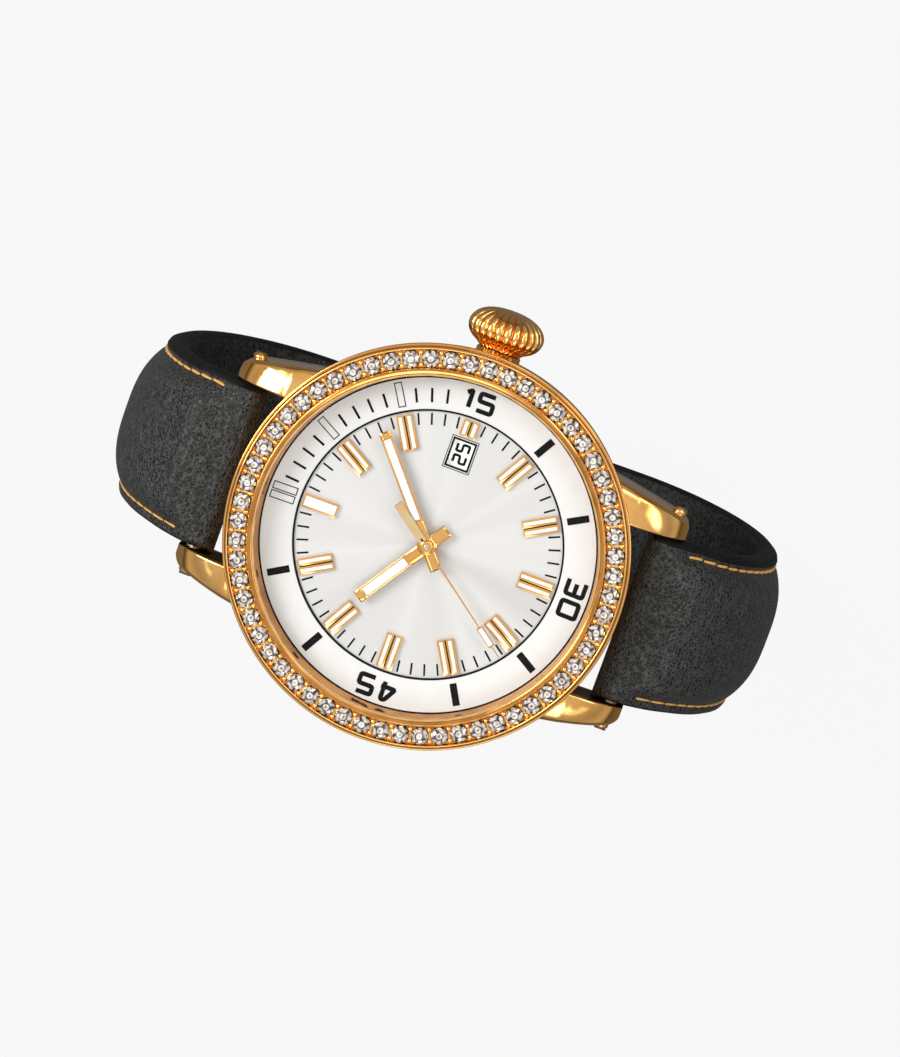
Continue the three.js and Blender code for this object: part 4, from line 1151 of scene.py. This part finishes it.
def build_buckle_frame():
    """An open frame with bowed sides, whose two arms end at the buckle bar."""
    low, high = extent("buckle_frame")
    reach, arm_end = -low[1], high[1]
    half, inner = 10.1, 8.35
    right = bezier((half - 0.3, arm_end), (half + 0.4, 0), (half + 0.3, -reach), (half - 2.6, -reach), 24)
    outline = [tuple(p) for p in right] + [(-x, y) for x, y in right[::-1]]
    opening = [(-inner, arm_end), (-inner, 2 - reach), (inner, 2 - reach), (inner, arm_end)]
    form = Form().add(slab(outline + filleted(opening, 0.7), low[2], high[2], 0.45))
    form.made("buckle_loop", [GOLD], "buckle", ["buckle_frame"], sharp=50)


# ---------------- CAD pieces kept as they are


def dress(node, material, bevel_mm=0.0):
    """Gives a CAD node its finish, with smooth shading, and softened edges where a bevel is given."""
    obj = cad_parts[node]
    obj.data.materials.clear()
    obj.data.materials.append(material)
    obj.data.shade_smooth()
    obj.data.set_sharp_from_angle(angle=radians(32))
    if bevel_mm:
        bevel = obj.modifiers.new("soft edges", "BEVEL")
        bevel.width = bevel_mm * MM
        bevel.segments = 2
        bevel.limit_method = "ANGLE"
        bevel.angle_limit = radians(35)


def dress_cad_pieces():
    """Finishes for the pieces that keep their CAD form: the movement, gaskets, bars and tongue."""
    wheels = ("reduction_wheel", "seconds_wheel", "third_wheel", "center_wheel", "minute_wheel", "hour_wheel")
    finishes = {
        STEEL: ("crown_tube", "winding_stem", "strap_bar_12", "strap_bar_6", "battery", "cannon_pinion"),
        RUBBER: ("case_back_gasket", "crown_gasket"),
        BRASS: ("main_plate", "train_bridge", *wheels),
        MAGNET: ("stator", "rotor"),
        COPPER: ("coil",),
        BOARD: ("circuit_board",),
        DISC_WHITE: ("date_disc",),
        NYLON: ("crystal_gasket",),
        DIAL: ("dial",),
    }
    for material, nodes in finishes.items():
        for node in nodes:
            dress(node, material)
    dress("buckle_tongue", GOLD, 0.18)
    dress("buckle_bar", STEEL, 0.12)


# ---------------- camera, light and floor


def build_camera():
    """Looks at the dial from just off its normal, tilted a little to the crown's side."""
    away = Vector((0.1535, -0.0452, 0.987)).normalized()
    right = Vector((0.35, -0.937, 0.0))
    right = (right - away * right.dot(away)).normalized()
    up = away.cross(right)
    aim = Vector((0.0, 0.0, DIAL_HEIGHT * MM)) + (2.2 * right + 1.65 * up) * MM
    data = bpy.data.cameras.new("camera")
    data.lens = 136
    data.sensor_width = 36
    data.clip_start, data.clip_end = 0.01, 20
    camera = bpy.data.objects.new("camera", data)
    bpy.context.collection.objects.link(camera)
    camera.rotation_mode = "QUATERNION"
    camera.location = aim + away * 0.4
    turn = np.column_stack((right, up, away))
    camera.rotation_quaternion = Matrix(turn.tolist()).to_quaternion()
    bpy.context.scene.camera = camera


def build_floor():
    """A pale floor that polished metal reflects as a darker one, so that the gold keeps its depth."""
    mesh = bpy.data.meshes.new("floor")
    size, height = 3.0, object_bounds()[0][2] - 0.0005
    corners = [(-size, -size, height), (size, -size, height), (size, size, height), (-size, size, height)]
    mesh.from_pydata(corners, [], [(0, 1, 2, 3)])
    n = Nodes("pale floor")
    path = n.add("LightPath")
    seen = n.add("Emission", {"Color": (0.97, 0.97, 0.97, 1.0), "Strength": 1.0})
    tone = n.math("SUBTRACT", 0.34, n.math("MULTIPLY", path.outputs["Is Glossy Ray"], 0.2))
    soft = n.add("BsdfDiffuse", {"Color": tone})
    camera_sees = n.math("MULTIPLY", path.outputs["Is Camera Ray"], 0.94)
    shader = n.add("MixShader", {0: camera_sees, 1: soft.outputs[0], 2: seen.outputs[0]})
    mesh.materials.append(n.finished(shader.outputs[0]))
    floor = bpy.data.objects.new("floor", mesh)
    bpy.context.collection.objects.link(floor)


def area_light(name, location, size, power):
    """A rectangular lamp that faces the origin."""
    data = bpy.data.lights.new(name, "AREA")
    data.shape, data.size, data.size_y, data.energy = "RECTANGLE", size[0], size[1], power
    light = bpy.data.objects.new(name, data)
    bpy.context.collection.objects.link(light)
    light.location = location
    light.rotation_mode = "QUATERNION"
    light.rotation_quaternion = Vector(location).to_track_quat("Z", "Y")


def build_light():
    """A studio for the gold to reflect: pale ceiling, broken bright strip, dim walls. Two soft lamps."""
    n = Nodes("studio", "worlds", "Generated")
    up = n.add("SeparateXYZ", {0: n.place}).outputs["Z"]
    height = n.add("Math", {0: up, 1: 0.5, 2: 0.5}, operation="MULTIPLY_ADD").outputs[0]
    dim_walls = ((0.0, 0.06), (0.42, 0.03), (0.5, 0.01), (0.6, 0.12), (0.72, 0.08))
    room = n.ramp(height, *dim_walls, (0.9, 0.14), (1.0, 0.17))
    strip = n.ramp(height, (0.8, 0.0), (0.85, 1.0), (0.9, 1.0), (0.94, 0.0))
    cloud = n.add("TexNoise", {"Vector": n.place, "Scale": 1.6, "Detail": 1.0}).outputs["Fac"]
    broken = n.mixed(strip, n.ramp(cloud, (0.45, 0.0), (0.58, 0.95)))
    camera_sees = n.add("LightPath").outputs["Is Camera Ray"]
    seen = n.mixed(n.mixed(room, broken, "ADD"), (0.19, 0.19, 0.19, 1.0), "MIX", camera_sees)
    background = n.add("Background", {"Color": seen, "Strength": 5.0})
    bpy.context.scene.world = n.finished(background.outputs[0], "OutputWorld")
    area_light("key_lamp", (0.08, 0.45, 0.42), (0.3, 0.3), 2.5)
    area_light("fill_lamp", (0.4, -0.25, 0.35), (0.15, 0.4), 0.35)
    bpy.context.scene.view_settings.view_transform = "Standard"


# ---------------- assembly

build_case()
build_bezel()
build_stones()
build_glass_and_flange()
build_case_back()
build_crown()
build_lug_screws()
build_chapter_ring()
build_dial_printing()
build_indices()
build_date_numbers()
build_blade_hand("hour_hand", "hour", 303.4, tip=8.8, width=1.35, hub=1.05, window=(0.47, 2.6, 7.9))
build_blade_hand("minute_hand", "minute", 49.9, tip=12.2, width=1.18, hub=0.95, window=(0.39, 2.8, 11.4))
build_seconds_hand(217)
build_strap_12()
build_strap_6()
build_keeper("fixed_keeper", "strap_12_half", "fixed_loop")
build_keeper("free_keeper", "sliding_keeper", "free_loop")
build_buckle_frame()
dress_cad_pieces()
build_camera()
build_floor()
build_light()
